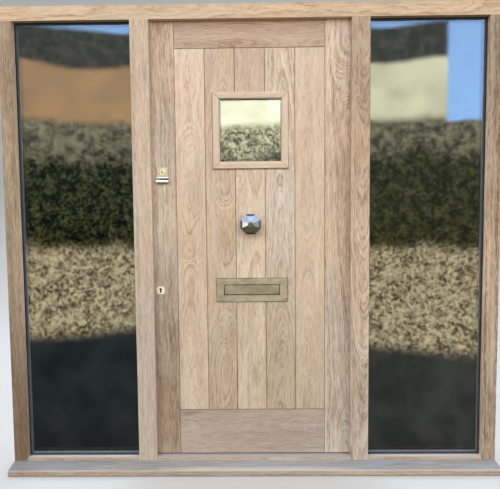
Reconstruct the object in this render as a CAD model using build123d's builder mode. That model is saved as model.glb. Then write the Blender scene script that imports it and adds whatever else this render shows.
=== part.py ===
from build123d import *

import os
from math import cos, radians, sin

os.makedirs("parts", exist_ok=True)

# Oak entrance door in its own frame: an inward-opening boarded leaf between
# two direct-glazed sidelights, on a projecting weathered sill.
# Millimetres. X runs to the right seen from outside, +Y runs inwards, +Z up.
# Origin: on the sill's underside, at the middle of the frame's width, in the
# plane of the frame's outside face.

# ---------------------------------------------------------------- frame sizes
HALF_W = 1112.0        # half the overall width
HEIGHT = 2100.0        # sill underside to head top
DEPTH = 85.0           # frame depth, outside face to inside face
HEAD_Z = 2037.0        # underside of the head
JAMB_IN = 1050.0       # sight line of the outer jambs
MUL_OUT = 529.0        # mullion edge on the sidelight side
MUL_IN = 447.0         # mullion edge on the door side
STOP_Y = 28.0          # depth of the outside lip, where glass and leaf close
GLASS_REB = 12.0       # glazing rebate, measured into the wood
DOOR_REB = 13.5        # door rebate in the mullions
DOOR_REB_HEAD = 11.0   # door rebate in the head

SILL_OUT = 70.0        # projection of the sill in front of the frame
NOSE_Z = 27.0          # height of the sill's front edge
WASH_Z = 42.0          # top of the weathered slope, at the frame's face
STEP_Z = 56.0          # top of the upstand and of the threshold
SILL_REB_Z = 44.0      # floor of the glazing rebate in the sill

# ----------------------------------------------------------------- leaf sizes
LEAF_X = 457.5         # half width of the 915 mm leaf
LEAF_Z0, LEAF_Z1 = 62.5, 2043.5
LEAF_Y0, LEAF_Y1 = 31.0, 85.0
BOARD_Y1 = 53.0        # back of the 22 mm boards
JOINTS = [-339.5 + 134.6 * k for k in range(6)]   # the six upright joints
TOP_RAIL_Z = 1918.0
BOTTOM_RAIL_Z = 270.5
GAP = 0.3              # half the gap in each board joint
VEE = 2.5              # chamfer of the V joints
TONGUE_Y = (39.0, 45.0)
GROOVE_Y = (38.8, 45.2)
UPPER_LEDGE = (1064.0, 1204.0)
LOWER_LEDGE = (753.0, 913.0)
TENON_Y = (49.0, 67.0)
LEDGE_TENON_Y = (60.0, 78.0)

# vision panel: sight line of the glass
VIS_X = (-138.5, 137.5)
VIS_Z = (1416.5, 1693.5)
VIS_LINING = 18.0

# letter plate
LP_CX, LP_CZ, LP_W, LP_H = 0.5, 832.2, 326.0, 111.0
LP_OPEN_CZ, LP_OPEN_W, LP_OPEN_H = 833.5, 256.0, 50.0
SLOT_X = (-131.0, 132.0)
SLOT_Z = (804.0, 862.0)
FLAP_AXIS = (29.0, 853.5)      # y, z of the outside flap's pivot
INNER_AXIS = (89.6, 865.0)     # y, z of the inside flap's pivot

# centre knob
KNOB_X, KNOB_Z = -3.0, 1134.0

# mortice deadlock
KEY_X, KEY_Z = -419.2, 837.8
BOLT_Z = 862.0

# rim night latch
NL_X, NL_Z = -400.0, 1370.5

# butt hinges
PIN_X, PIN_Y = 459.0, 91.2
HINGE_Z = [339.0, 1092.0, 1845.0]
HINGE_H = 100.0
KNUCKLE_R = 5.8
PIN_R = 2.98
PIN_BORE_R = 3.05


def block(x, y, z, mode=Mode.ADD):
    """A box between two x, two y and two z values."""
    with Locations((sum(x) / 2, sum(y) / 2, sum(z) / 2)):
        Box(x[1] - x[0], y[1] - y[0], z[1] - z[0], mode=mode)


def rod_y(cx, cz, r, y, mode=Mode.ADD):
    """A round bar along Y."""
    with Locations((cx, sum(y) / 2, cz)):
        Cylinder(r, y[1] - y[0], rotation=(90, 0, 0), mode=mode)


def rod_z(cx, cy, r, z, mode=Mode.ADD):
    """A round bar along Z."""
    with Locations((cx, cy, sum(z) / 2)):
        Cylinder(r, z[1] - z[0], mode=mode)


def rod_x(cy, cz, r, x, mode=Mode.ADD):
    """A round bar along X."""
    with Locations((sum(x) / 2, cy, cz)):
        Cylinder(r, x[1] - x[0], rotation=(0, 90, 0), mode=mode)


def outline(plane, points):
    """A closed polygon on a plane."""
    with BuildSketch(plane) as face:
        with BuildLine():
            Polyline(*points, close=True)
        make_face()
    return face.sketch


def prism(plane, points, amount, mode=Mode.ADD):
    """A straight bar with a polygon section, along the plane's normal."""
    extrude(outline(plane, points), amount=amount, dir=plane.z_dir, mode=mode)


def at_y(y):
    """The upright plane at this depth: local x is X, local y is Z, and an
    extrusion runs towards the outside, -Y."""
    return Plane.XZ.offset(-y)


def mitred_bar(side, x, z, section, gap=0.0):
    """One bar of a mitred frame round the opening x, z. The section's points
    are (distance outwards from the sight line, depth)."""
    r0 = min(p[0] for p in section)
    r1 = max(p[0] for p in section)
    y0 = min(p[1] for p in section) - 1
    y1 = max(p[1] for p in section) + 1
    (xa, xb), (za, zb) = x, z
    with BuildPart() as bar:
        if side == "left":
            prism(Plane.XY.offset(za - r1), [(xa - r, y) for r, y in section], zb - za + 2 * r1)
            cut = [(xa - r1, za - r1 + gap), (xa - r1, zb + r1 - gap), (xa - r0, zb + r0 - gap), (xa - r0, za - r0 + gap)]
        elif side == "right":
            prism(Plane.XY.offset(za - r1), [(xb + r, y) for r, y in section], zb - za + 2 * r1)
            cut = [(xb + r1, za - r1 + gap), (xb + r1, zb + r1 - gap), (xb + r0, zb + r0 - gap), (xb + r0, za - r0 + gap)]
        elif side == "top":
            prism(Plane.YZ.offset(xa - r1), [(y, zb + r) for r, y in section], xb - xa + 2 * r1)
            cut = [(xa - r1 + gap, zb + r1), (xb + r1 - gap, zb + r1), (xb + r0 - gap, zb + r0), (xa - r0 + gap, zb + r0)]
        else:
            prism(Plane.YZ.offset(xa - r1), [(y, za - r) for r, y in section], xb - xa + 2 * r1)
            cut = [(xa - r1 + gap, za - r1), (xb + r1 - gap, za - r1), (xb + r0 - gap, za - r0), (xa - r0 + gap, za - r0)]
        prism(at_y(y1), cut, y1 - y0, mode=Mode.INTERSECT)
    return bar.part


def keyhole(y, mode, grow=0.0):
    """The key's way: a round hole with a slot below it."""
    rod_y(KEY_X, KEY_Z, 5.6 + grow, y, mode=mode)
    block((KEY_X - 3.7 - grow, KEY_X + 3.7 + grow), y, (KEY_Z - 16.5 - grow, KEY_Z), mode=mode)


# ------------------------------------------------------------------- fasteners
# shape of one countersunk wood screw, head flush at z = 0, pointing down
with BuildPart() as screw_blank:
    with BuildSketch(Plane.XZ):
        with BuildLine():
            Polyline((0, 0), (4.2, 0), (2.1, -2.6), (2.1, -25), (0, -31), close=True)
        make_face()
    revolve(axis=Axis.Z)

# the same screw with its cross recess
with BuildPart() as wood_screw:
    add(screw_blank.part)
    block((-2.6, 2.6), (-0.5, 0.5), (-1.1, 1), mode=Mode.SUBTRACT)
    block((-0.5, 0.5), (-2.6, 2.6), (-1.1, 1), mode=Mode.SUBTRACT)

HINGE_SCREWS = [(60.0, -38.0), (74.0, -14.0), (60.0, 14.0), (74.0, 38.0)]
FRAME_PLATE_X = 459.1      # gap face of the hinge leaf on the frame
DOOR_PLATE_X = 458.9       # gap face of the hinge leaf on the door

frame_screw_places = [
    Location(Plane(origin=(FRAME_PLATE_X, y, zc + dz), x_dir=(0, 0, 1), z_dir=(-1, 0, 0)))
    for zc in HINGE_Z for y, dz in HINGE_SCREWS
] + [
    Location(Plane(origin=(-460.5, 58.0, z), x_dir=(0, 0, 1), z_dir=(1, 0, 0)))
    for z in (802.0, 922.0)
] + [
    Location(Plane(origin=(-486.0, 88.0, z), x_dir=(1, 0, 0), z_dir=(0, 1, 0)))
    for z in (1343.5, 1397.5)
]
leaf_screw_places = [
    Location(Plane(origin=(DOOR_PLATE_X, y, zc + dz), x_dir=(0, 0, 1), z_dir=(1, 0, 0)))
    for zc in HINGE_Z for y, dz in HINGE_SCREWS
] + [
    Location(Plane(origin=(-457.5, 58.0, z), x_dir=(0, 0, 1), z_dir=(-1, 0, 0)))
    for z in (802.0, 922.0)
] + [
    Location(Plane(origin=(x, 88.0, z), x_dir=(1, 0, 0), z_dir=(0, 1, 0)))
    for x in (-430.0, -390.0) for z in (1332.5, 1408.5)
]

# what the screws take out of the wood and the fittings
with BuildPart() as frame_screw_holes:
    with Locations(*frame_screw_places):
        add(screw_blank.part)
with BuildPart() as leaf_screw_holes:
    with Locations(*leaf_screw_places):
        add(screw_blank.part)

with BuildPart() as frame_screws:
    with Locations(*frame_screw_places):
        add(wood_screw.part)
frame_screws.part.label = "frame_screws"
export_step(frame_screws.part, "parts/frame_screws.step")

with BuildPart() as leaf_screws:
    with Locations(*leaf_screw_places):
        add(wood_screw.part)
leaf_screws.part.label = "leaf_screws"
export_step(leaf_screws.part, "parts/leaf_screws.step")

# two bolts from the inside into the back of the letter plate
with BuildPart() as letter_plate_bolts:
    for x in (LP_CX - 139.0, LP_CX + 139.0):
        rod_y(x, LP_OPEN_CZ, 2.5, (27.5, 88.0))
        rod_y(x, LP_OPEN_CZ, 4.6, (88.0, 90.6))
        block((x - 3.4, x + 3.4), (89.6, 91.0), (LP_OPEN_CZ - 0.6, LP_OPEN_CZ + 0.6), mode=Mode.SUBTRACT)
letter_plate_bolts.part.label = "letter_plate_bolts"
export_step(letter_plate_bolts.part, "parts/letter_plate_bolts.step")

# one bolt from the inside that holds the centre knob, with its dished washer
with BuildPart() as knob_bolt:
    rod_y(KNOB_X, KNOB_Z, 4.0, (12.0, 86.5))
    rod_y(KNOB_X, KNOB_Z, 13.0, (85.0, 86.5))
    with BuildSketch(at_y(91.5)):
        with Locations((KNOB_X, KNOB_Z)):
            RegularPolygon(6.5, 6, major_radius=False)
    extrude(amount=5.0)
knob_bolt.part.label = "knob_bolt"
export_step(knob_bolt.part, "parts/knob_bolt.step")

# ------------------------------------------------------------------------ frame
# tenons: x span and which members carry them; all are 40 deep in Y
JAMB_TENON = (1070.0, 1104.0)
MUL_TENON = (470.0, 507.0)
FRAME_TENON_Y = (32.0, 72.0)
SILL_MORTICE = (12.0, WASH_Z)
HEAD_MORTICE = (HEAD_Z, HEAD_Z + 40.0)
POSTS = [(-HALF_W, -JAMB_IN), (-MUL_OUT, -MUL_IN), (MUL_IN, MUL_OUT), (JAMB_IN, HALF_W)]
TENONS = [(-JAMB_TENON[1], -JAMB_TENON[0]), (-MUL_TENON[1], -MUL_TENON[0]), MUL_TENON, JAMB_TENON]
SEAL_GROOVE = (5.5, 8.5)       # kerf of the weatherseal, behind the sight line
GLUE = 0.05                    # glue line inside a built-up mullion
KEEP_BLOCK_Z = (780.0, 944.0)  # ends of the length that takes the deadlock's keep
SEAL_BULB = (3.5, 10.5)

with BuildPart() as sill:
    with BuildSketch(Plane.YZ.offset(-HALF_W)):
        with BuildLine():
            Polyline(
                (-SILL_OUT + 1.5, 0), (-62, 0), (-62, 6), (-56, 6), (-56, 0),
                (DEPTH, 0), (DEPTH, STEP_Z), (1.5, STEP_Z), (0, STEP_Z - 1.5), (0, WASH_Z),
                (-SILL_OUT + 2.6, NOSE_Z + 0.5), (-SILL_OUT + 0.7, NOSE_Z - 0.9),
                (-SILL_OUT, NOSE_Z - 2.6), (-SILL_OUT, 1.5), close=True,
            )
        make_face()
    extrude(amount=2 * HALF_W)
    for post, tenon in zip(POSTS, TENONS):
        block(post, (0, DEPTH), (WASH_Z, STEP_Z + 1), mode=Mode.SUBTRACT)
        block(tenon, FRAME_TENON_Y, SILL_MORTICE, mode=Mode.SUBTRACT)
    for s in (-1, 1):
        block(sorted((s * MUL_OUT, s * JAMB_IN)), (STOP_Y, DEPTH), (SILL_REB_Z, STEP_Z + 1), mode=Mode.SUBTRACT)
sill.part.label = "sill"
export_step(sill.part, "parts/sill.step")

with BuildPart() as frame_head:
    block((-HALF_W, HALF_W), (0, DEPTH), (HEAD_Z, HEIGHT))
    for s in (-1, 1):
        block(sorted((s * (MUL_OUT - GLASS_REB), s * (JAMB_IN + GLASS_REB))), (STOP_Y, DEPTH),
              (HEAD_Z, HEAD_Z + GLASS_REB), mode=Mode.SUBTRACT)
    block((-MUL_IN - DOOR_REB, MUL_IN + DOOR_REB), (STOP_Y, DEPTH), (HEAD_Z, HEAD_Z + DOOR_REB_HEAD), mode=Mode.SUBTRACT)
    for tenon in TENONS:
        block(tenon, FRAME_TENON_Y, HEAD_MORTICE, mode=Mode.SUBTRACT)
    block((-MUL_IN - SEAL_GROOVE[1], MUL_IN + SEAL_GROOVE[1]), (STOP_Y - 6, STOP_Y),
          (HEAD_Z + SEAL_GROOVE[0], HEAD_Z + SEAL_GROOVE[1]), mode=Mode.SUBTRACT)
    for s in (-1, 1):
        block(sorted((s * (MUL_IN + SEAL_GROOVE[0]), s * (MUL_IN + SEAL_GROOVE[1]))), (STOP_Y - 6, STOP_Y),
              (HEAD_Z, HEAD_Z + SEAL_GROOVE[1]), mode=Mode.SUBTRACT)
frame_head.part.label = "frame_head"
export_step(frame_head.part, "parts/frame_head.step")

for s, label in ((-1, "outer_jamb_left"), (1, "outer_jamb_right")):
    with BuildPart() as outer_jamb:
        block(sorted((s * JAMB_IN, s * HALF_W)), (0, DEPTH), (WASH_Z, HEAD_Z))
        block(sorted((s * JAMB_IN, s * (JAMB_IN + GLASS_REB))), (STOP_Y, DEPTH), (SILL_REB_Z, HEAD_Z), mode=Mode.SUBTRACT)
        tenon = sorted((s * JAMB_TENON[0], s * JAMB_TENON[1]))
        block(tenon, FRAME_TENON_Y, SILL_MORTICE)
        block(tenon, FRAME_TENON_Y, HEAD_MORTICE)
    outer_jamb.part.label = label
    export_step(outer_jamb.part, f"parts/{label}.step")

for s, label in ((-1, "lock_mullion"), (1, "hinge_mullion")):
    with BuildPart() as mullion:
        block(sorted((s * MUL_IN, s * MUL_OUT)), (0, DEPTH), (WASH_Z, HEAD_Z))
        block(sorted((s * (MUL_OUT - GLASS_REB), s * MUL_OUT)), (STOP_Y, DEPTH), (SILL_REB_Z, HEAD_Z), mode=Mode.SUBTRACT)
        block(sorted((s * MUL_IN, s * (MUL_IN + DOOR_REB))), (STOP_Y, DEPTH), (STEP_Z, HEAD_Z), mode=Mode.SUBTRACT)
        block(sorted((s * (MUL_IN + SEAL_GROOVE[0]), s * (MUL_IN + SEAL_GROOVE[1]))), (STOP_Y - 6, STOP_Y),
              (STEP_Z, HEAD_Z), mode=Mode.SUBTRACT)
        tenon = sorted((s * MUL_TENON[0], s * MUL_TENON[1]))
        block(tenon, FRAME_TENON_Y, SILL_MORTICE)
        block(tenon, FRAME_TENON_Y, HEAD_MORTICE)
        if s > 0:
            # recesses for the hinge leaves
            for zc in HINGE_Z:
                block((460.5, 461.6), (52.0, DEPTH), (zc - HINGE_H / 2, zc + HINGE_H / 2), mode=Mode.SUBTRACT)
        else:
            # recess for the deadlock's keep and the pocket behind it
            block((-463.0, -460.5), (46.0, 70.0), (790.0, 934.0), mode=Mode.SUBTRACT)
            block((-488.0, -463.0), (47.5, 68.5), (BOLT_Z - 18.0, BOLT_Z + 18.0), mode=Mode.SUBTRACT)
        add(frame_screw_holes.part, mode=Mode.SUBTRACT)
        # glue lines: a face board glued to the rebated back, and on the lock
        # side a short length of the back that takes the keep
        block(sorted((s * MUL_IN, s * MUL_OUT)), (STOP_Y - GLUE, STOP_Y), (WASH_Z, HEAD_Z), mode=Mode.SUBTRACT)
        if s < 0:
            for zc in KEEP_BLOCK_Z:
                block((-MUL_OUT, -MUL_IN), (STOP_Y, DEPTH), (zc - GLUE / 2, zc + GLUE / 2), mode=Mode.SUBTRACT)
    mullion.part.label = label
    export_step(mullion.part, f"parts/{label}.step")

# compression seal in its kerf round the sides and head of the doorway
with BuildPart() as door_weatherseal:
    for r, y in ((SEAL_BULB, (STOP_Y, 30.6)), (SEAL_GROOVE, (STOP_Y - 6, STOP_Y))):
        a, b = r
        with BuildSketch(at_y(y[1])):
            with BuildLine():
                Polyline(
                    (-MUL_IN - b, STEP_Z), (-MUL_IN - b, HEAD_Z + b), (MUL_IN + b, HEAD_Z + b), (MUL_IN + b, STEP_Z),
                    (MUL_IN + a, STEP_Z), (MUL_IN + a, HEAD_Z + a), (-MUL_IN - a, HEAD_Z + a), (-MUL_IN - a, STEP_Z),
                    close=True,
                )
            make_face()
        extrude(amount=y[1] - y[0])
door_weatherseal.part.label = "door_weatherseal"
export_step(door_weatherseal.part, "parts/door_weatherseal.step")

# ------------------------------------------------------------------- sidelights
# sealed double glazing 24 mm thick, on a black gasket, held by inside beads
SIGHT_Z = (STEP_Z, HEAD_Z)
PANE_GROW = 9.0
BEAD_SECTION = [(0, 55), (0, 76), (4, 80), (GLASS_REB, 80), (GLASS_REB, 55)]
for s, side in ((-1, "left"), (1, "right")):
    sight_x = sorted((s * MUL_OUT, s * JAMB_IN))
    pane_x = (sight_x[0] - PANE_GROW, sight_x[1] + PANE_GROW)
    pane_z = (SIGHT_Z[0] - PANE_GROW, SIGHT_Z[1] + PANE_GROW)
    with BuildPart() as outer_pane:
        block(pane_x, (31, 35), pane_z)
    outer_pane.part.label = f"{side}_outer_pane"
    export_step(outer_pane.part, f"parts/{side}_outer_pane.step")
    with BuildPart() as inner_pane:
        block(pane_x, (51, 55), pane_z)
    inner_pane.part.label = f"{side}_inner_pane"
    export_step(inner_pane.part, f"parts/{side}_inner_pane.step")

bead_bars = [
    mitred_bar(edge, sorted((s * MUL_OUT, s * JAMB_IN)), SIGHT_Z, BEAD_SECTION, gap=0.15)
    for s in (-1, 1) for edge in ("left", "right", "top", "bottom")
]
with BuildPart() as glazing_beads:
    for bar in bead_bars:
        add(bar)
glazing_beads.part.label = "glazing_beads"
export_step(glazing_beads.part, "parts/glazing_beads.step")

SIDE_CX = (MUL_OUT + JAMB_IN) / 2
SIDE_W = JAMB_IN - MUL_OUT
SIDE_CZ = sum(SIGHT_Z) / 2
SIDE_H = SIGHT_Z[1] - SIGHT_Z[0]

with BuildPart() as glazing_gaskets:
    with BuildSketch(at_y(31.0)):
        with Locations((-SIDE_CX, SIDE_CZ), (SIDE_CX, SIDE_CZ)):
            Rectangle(SIDE_W + 18, SIDE_H + 18)
            Rectangle(SIDE_W - 8, SIDE_H - 8, mode=Mode.SUBTRACT)
    extrude(amount=3.0)
glazing_gaskets.part.label = "glazing_gaskets"
export_step(glazing_gaskets.part, "parts/glazing_gaskets.step")

with BuildPart() as sidelight_spacer_bars:
    with BuildSketch(at_y(51.0)):
        with Locations((-SIDE_CX, SIDE_CZ), (SIDE_CX, SIDE_CZ)):
            Rectangle(SIDE_W + 17, SIDE_H + 17)
            Rectangle(SIDE_W - 18, SIDE_H - 18, mode=Mode.SUBTRACT)
    extrude(amount=16.0)
sidelight_spacer_bars.part.label = "sidelight_spacer_bars"
export_step(sidelight_spacer_bars.part, "parts/sidelight_spacer_bars.step")

# ----------------------------------------------------------------------- hinges
knuckle = HINGE_H / 5
with BuildPart() as hinge_frame_leaves:
    for zc in HINGE_Z:
        z0 = zc - HINGE_H / 2
        block((FRAME_PLATE_X, 461.6), (52.0, 84.6), (z0, z0 + HINGE_H))
        for k in (0, 2, 4):
            span = (z0 + k * knuckle + (0.15 if k else 0), z0 + (k + 1) * knuckle - (0.15 if k < 4 else 0))
            block((FRAME_PLATE_X, 461.6), (84.6, PIN_Y), span)
            rod_z(PIN_X, PIN_Y, KNUCKLE_R, span)
        rod_z(PIN_X, PIN_Y, PIN_BORE_R, (z0 - 1, z0 + HINGE_H + 1), mode=Mode.SUBTRACT)
    add(frame_screw_holes.part, mode=Mode.SUBTRACT)
hinge_frame_leaves.part.label = "hinge_frame_leaves"
export_step(hinge_frame_leaves.part, "parts/hinge_frame_leaves.step")

with BuildPart() as hinge_door_leaves:
    for zc in HINGE_Z:
        z0 = zc - HINGE_H / 2
        block((456.4, DOOR_PLATE_X), (52.0, 84.6), (z0, z0 + HINGE_H))
        for k in (1, 3):
            span = (z0 + k * knuckle + 0.15, z0 + (k + 1) * knuckle - 0.15)
            block((456.4, DOOR_PLATE_X), (84.6, PIN_Y), span)
            rod_z(PIN_X, PIN_Y, KNUCKLE_R, span)
        rod_z(PIN_X, PIN_Y, PIN_BORE_R, (z0 - 1, z0 + HINGE_H + 1), mode=Mode.SUBTRACT)
    add(leaf_screw_holes.part, mode=Mode.SUBTRACT)
hinge_door_leaves.part.label = "hinge_door_leaves"
export_step(hinge_door_leaves.part, "parts/hinge_door_leaves.step")

with BuildPart() as hinge_pins:
    for zc in HINGE_Z:
        z0, z1 = zc - HINGE_H / 2, zc + HINGE_H / 2
        rod_z(PIN_X, PIN_Y, PIN_R, (z0 - 1, z1 + 1))
        for z in (z0 - 3.0, z1):
            rod_z(PIN_X, PIN_Y, 5.0, (z, z + 3.0))
hinge_pins.part.label = "hinge_pins"
export_step(hinge_pins.part, "parts/hinge_pins.step")

# ------------------------------------------------------------------------ keeps
with BuildPart() as deadlock_keep:
    block((-463.0, -460.5), (46.0, 70.0), (790.0, 934.0))
    block((-464.0, -460.0), (51.7, 64.3), (BOLT_Z - 12.5, BOLT_Z + 12.5), mode=Mode.SUBTRACT)
    add(frame_screw_holes.part, mode=Mode.SUBTRACT)
deadlock_keep.part.label = "deadlock_keep"
export_step(deadlock_keep.part, "parts/deadlock_keep.step")

with BuildPart() as night_latch_keep:
    block((-496.0, -460.5), (85.0, 88.0), (1337.0, 1404.0))
    block((-496.0, -460.5), (88.0, 114.0), (1352.5, 1388.5))
    fillet(night_latch_keep.edges().filter_by(Axis.Z).group_by(Axis.Y)[-1].sort_by(Axis.X)[0], 6.0)
    block((-480.0, -460.0), (96.5, 111.5), (1357.5, 1383.5), mode=Mode.SUBTRACT)
    add(frame_screw_holes.part, mode=Mode.SUBTRACT)
night_latch_keep.part.label = "night_latch_keep"
export_step(night_latch_keep.part, "parts/night_latch_keep.step")

# ------------------------------------------------------------------- leaf: frame
RAIL_X = (JOINTS[0] + GAP, JOINTS[5] - GAP)


def front_edges(piece, axis):
    """Edges in the leaf's outside face that run along one axis."""
    return piece.edges().filter_by(axis).filter_by(lambda e: abs(e.center().Y - LEAF_Y0) < 0.01)


with BuildPart() as lock_stile:
    block((-LEAF_X, JOINTS[0] - GAP), (LEAF_Y0, LEAF_Y1), (LEAF_Z0, LEAF_Z1))
    chamfer(front_edges(lock_stile, Axis.Z).sort_by(Axis.X)[-1], VEE)
    block((JOINTS[0] - GAP - 9.0, JOINTS[0]), GROOVE_Y, (BOTTOM_RAIL_Z - 10, TOP_RAIL_Z + 10), mode=Mode.SUBTRACT)
    block((JOINTS[0] - 75.0, JOINTS[0]), TENON_Y, (1936.0, 2027.0), mode=Mode.SUBTRACT)
    block((JOINTS[0] - 75.0, JOINTS[0]), TENON_Y, (90.0, 250.0), mode=Mode.SUBTRACT)
    for z0, z1 in (UPPER_LEDGE, LOWER_LEDGE):
        block((JOINTS[0] - 40.0, JOINTS[0]), LEDGE_TENON_Y, (z0 + 20, z1 - 20), mode=Mode.SUBTRACT)
    # deadlock: forend recess, case pocket and key way
    block((-LEAF_X, -454.5), (46.0, 70.0), (790.0, 934.0), mode=Mode.SUBTRACT)
    block((-LEAF_X, -392.0), (50.0, 66.0), (812.0, 888.0), mode=Mode.SUBTRACT)
    keyhole((LEAF_Y0 - 1, 50.0), Mode.SUBTRACT, grow=0.6)
    keyhole((66.0, LEAF_Y1 + 1), Mode.SUBTRACT, grow=0.6)
    # hole for the night latch's cylinder
    rod_y(NL_X, NL_Z, 15.0, (LEAF_Y0 - 1, LEAF_Y1 + 1), mode=Mode.SUBTRACT)
    # groove of the bottom seal
    block((-452.0, JOINTS[0]), (56.0, 60.0), (LEAF_Z0 - 1, 72.0), mode=Mode.SUBTRACT)
    add(leaf_screw_holes.part, mode=Mode.SUBTRACT)
lock_stile.part.label = "lock_stile"
export_step(lock_stile.part, "parts/lock_stile.step")

with BuildPart() as hinge_stile:
    block((JOINTS[5] + GAP, LEAF_X), (LEAF_Y0, LEAF_Y1), (LEAF_Z0, LEAF_Z1))
    chamfer(front_edges(hinge_stile, Axis.Z).sort_by(Axis.X)[0], VEE)
    block((JOINTS[5], JOINTS[5] + GAP + 9.0), GROOVE_Y, (BOTTOM_RAIL_Z - 10, TOP_RAIL_Z + 10), mode=Mode.SUBTRACT)
    block((JOINTS[5], JOINTS[5] + 75.0), TENON_Y, (1936.0, 2027.0), mode=Mode.SUBTRACT)
    block((JOINTS[5], JOINTS[5] + 75.0), TENON_Y, (90.0, 250.0), mode=Mode.SUBTRACT)
    for z0, z1 in (UPPER_LEDGE, LOWER_LEDGE):
        block((JOINTS[5], JOINTS[5] + 40.0), LEDGE_TENON_Y, (z0 + 20, z1 - 20), mode=Mode.SUBTRACT)
    for zc in HINGE_Z:
        block((456.4, LEAF_X), (52.0, LEAF_Y1), (zc - HINGE_H / 2, zc + HINGE_H / 2), mode=Mode.SUBTRACT)
    block((JOINTS[5], 452.0), (56.0, 60.0), (LEAF_Z0 - 1, 72.0), mode=Mode.SUBTRACT)
    add(leaf_screw_holes.part, mode=Mode.SUBTRACT)
hinge_stile.part.label = "hinge_stile"
export_step(hinge_stile.part, "parts/hinge_stile.step")

with BuildPart() as top_rail:
    block(RAIL_X, (LEAF_Y0, LEAF_Y1), (TOP_RAIL_Z + GAP, LEAF_Z1))
    chamfer(front_edges(top_rail, Axis.Z) + front_edges(top_rail, Axis.X).sort_by(Axis.Z)[:1], 2.0)
    block(RAIL_X, GROOVE_Y, (TOP_RAIL_Z, TOP_RAIL_Z + 9), mode=Mode.SUBTRACT)
    block((JOINTS[0] - 75.0, RAIL_X[0]), TENON_Y, (1936.0, 2027.0))
    block((RAIL_X[1], JOINTS[5] + 75.0), TENON_Y, (1936.0, 2027.0))
top_rail.part.label = "top_rail"
export_step(top_rail.part, "parts/top_rail.step")

with BuildPart() as bottom_rail:
    block(RAIL_X, (LEAF_Y0, LEAF_Y1), (LEAF_Z0, BOTTOM_RAIL_Z - GAP))
    chamfer(front_edges(bottom_rail, Axis.Z) + front_edges(bottom_rail, Axis.X).sort_by(Axis.Z)[-1:], 2.0)
    block(RAIL_X, GROOVE_Y, (BOTTOM_RAIL_Z - 9, BOTTOM_RAIL_Z), mode=Mode.SUBTRACT)
    block((JOINTS[0] - 75.0, RAIL_X[0]), TENON_Y, (90.0, 250.0))
    block((RAIL_X[1], JOINTS[5] + 75.0), TENON_Y, (90.0, 250.0))
    block((-452.0, 452.0), (56.0, 60.0), (LEAF_Z0 - 1, 72.0), mode=Mode.SUBTRACT)
bottom_rail.part.label = "bottom_rail"
export_step(bottom_rail.part, "parts/bottom_rail.step")

with BuildPart() as bottom_seal:
    block((-452.0, 452.0), (56.0, 60.0), (56.5, 72.0))
bottom_seal.part.label = "bottom_seal"
export_step(bottom_seal.part, "parts/bottom_seal.step")

for (z0, z1), label in ((UPPER_LEDGE, "upper_ledge"), (LOWER_LEDGE, "lower_ledge")):
    with BuildPart() as ledge:
        block((JOINTS[0], JOINTS[5]), (BOARD_Y1, LEAF_Y1), (z0, z1))
        chamfer(ledge.edges().filter_by(Axis.X).group_by(Axis.Y)[-1], 4.0)
        block((JOINTS[0] - 40.0, JOINTS[0]), LEDGE_TENON_Y, (z0 + 20, z1 - 20))
        block((JOINTS[5], JOINTS[5] + 40.0), LEDGE_TENON_Y, (z0 + 20, z1 - 20))
        if label == "lower_ledge":
            block(SLOT_X, (BOARD_Y1 - 1, LEAF_Y1 + 1), SLOT_Z, mode=Mode.SUBTRACT)
            add(letter_plate_bolts.part, mode=Mode.SUBTRACT)
        else:
            add(knob_bolt.part, mode=Mode.SUBTRACT)
    ledge.part.label = label
    export_step(ledge.part, f"parts/{label}.step")

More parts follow.
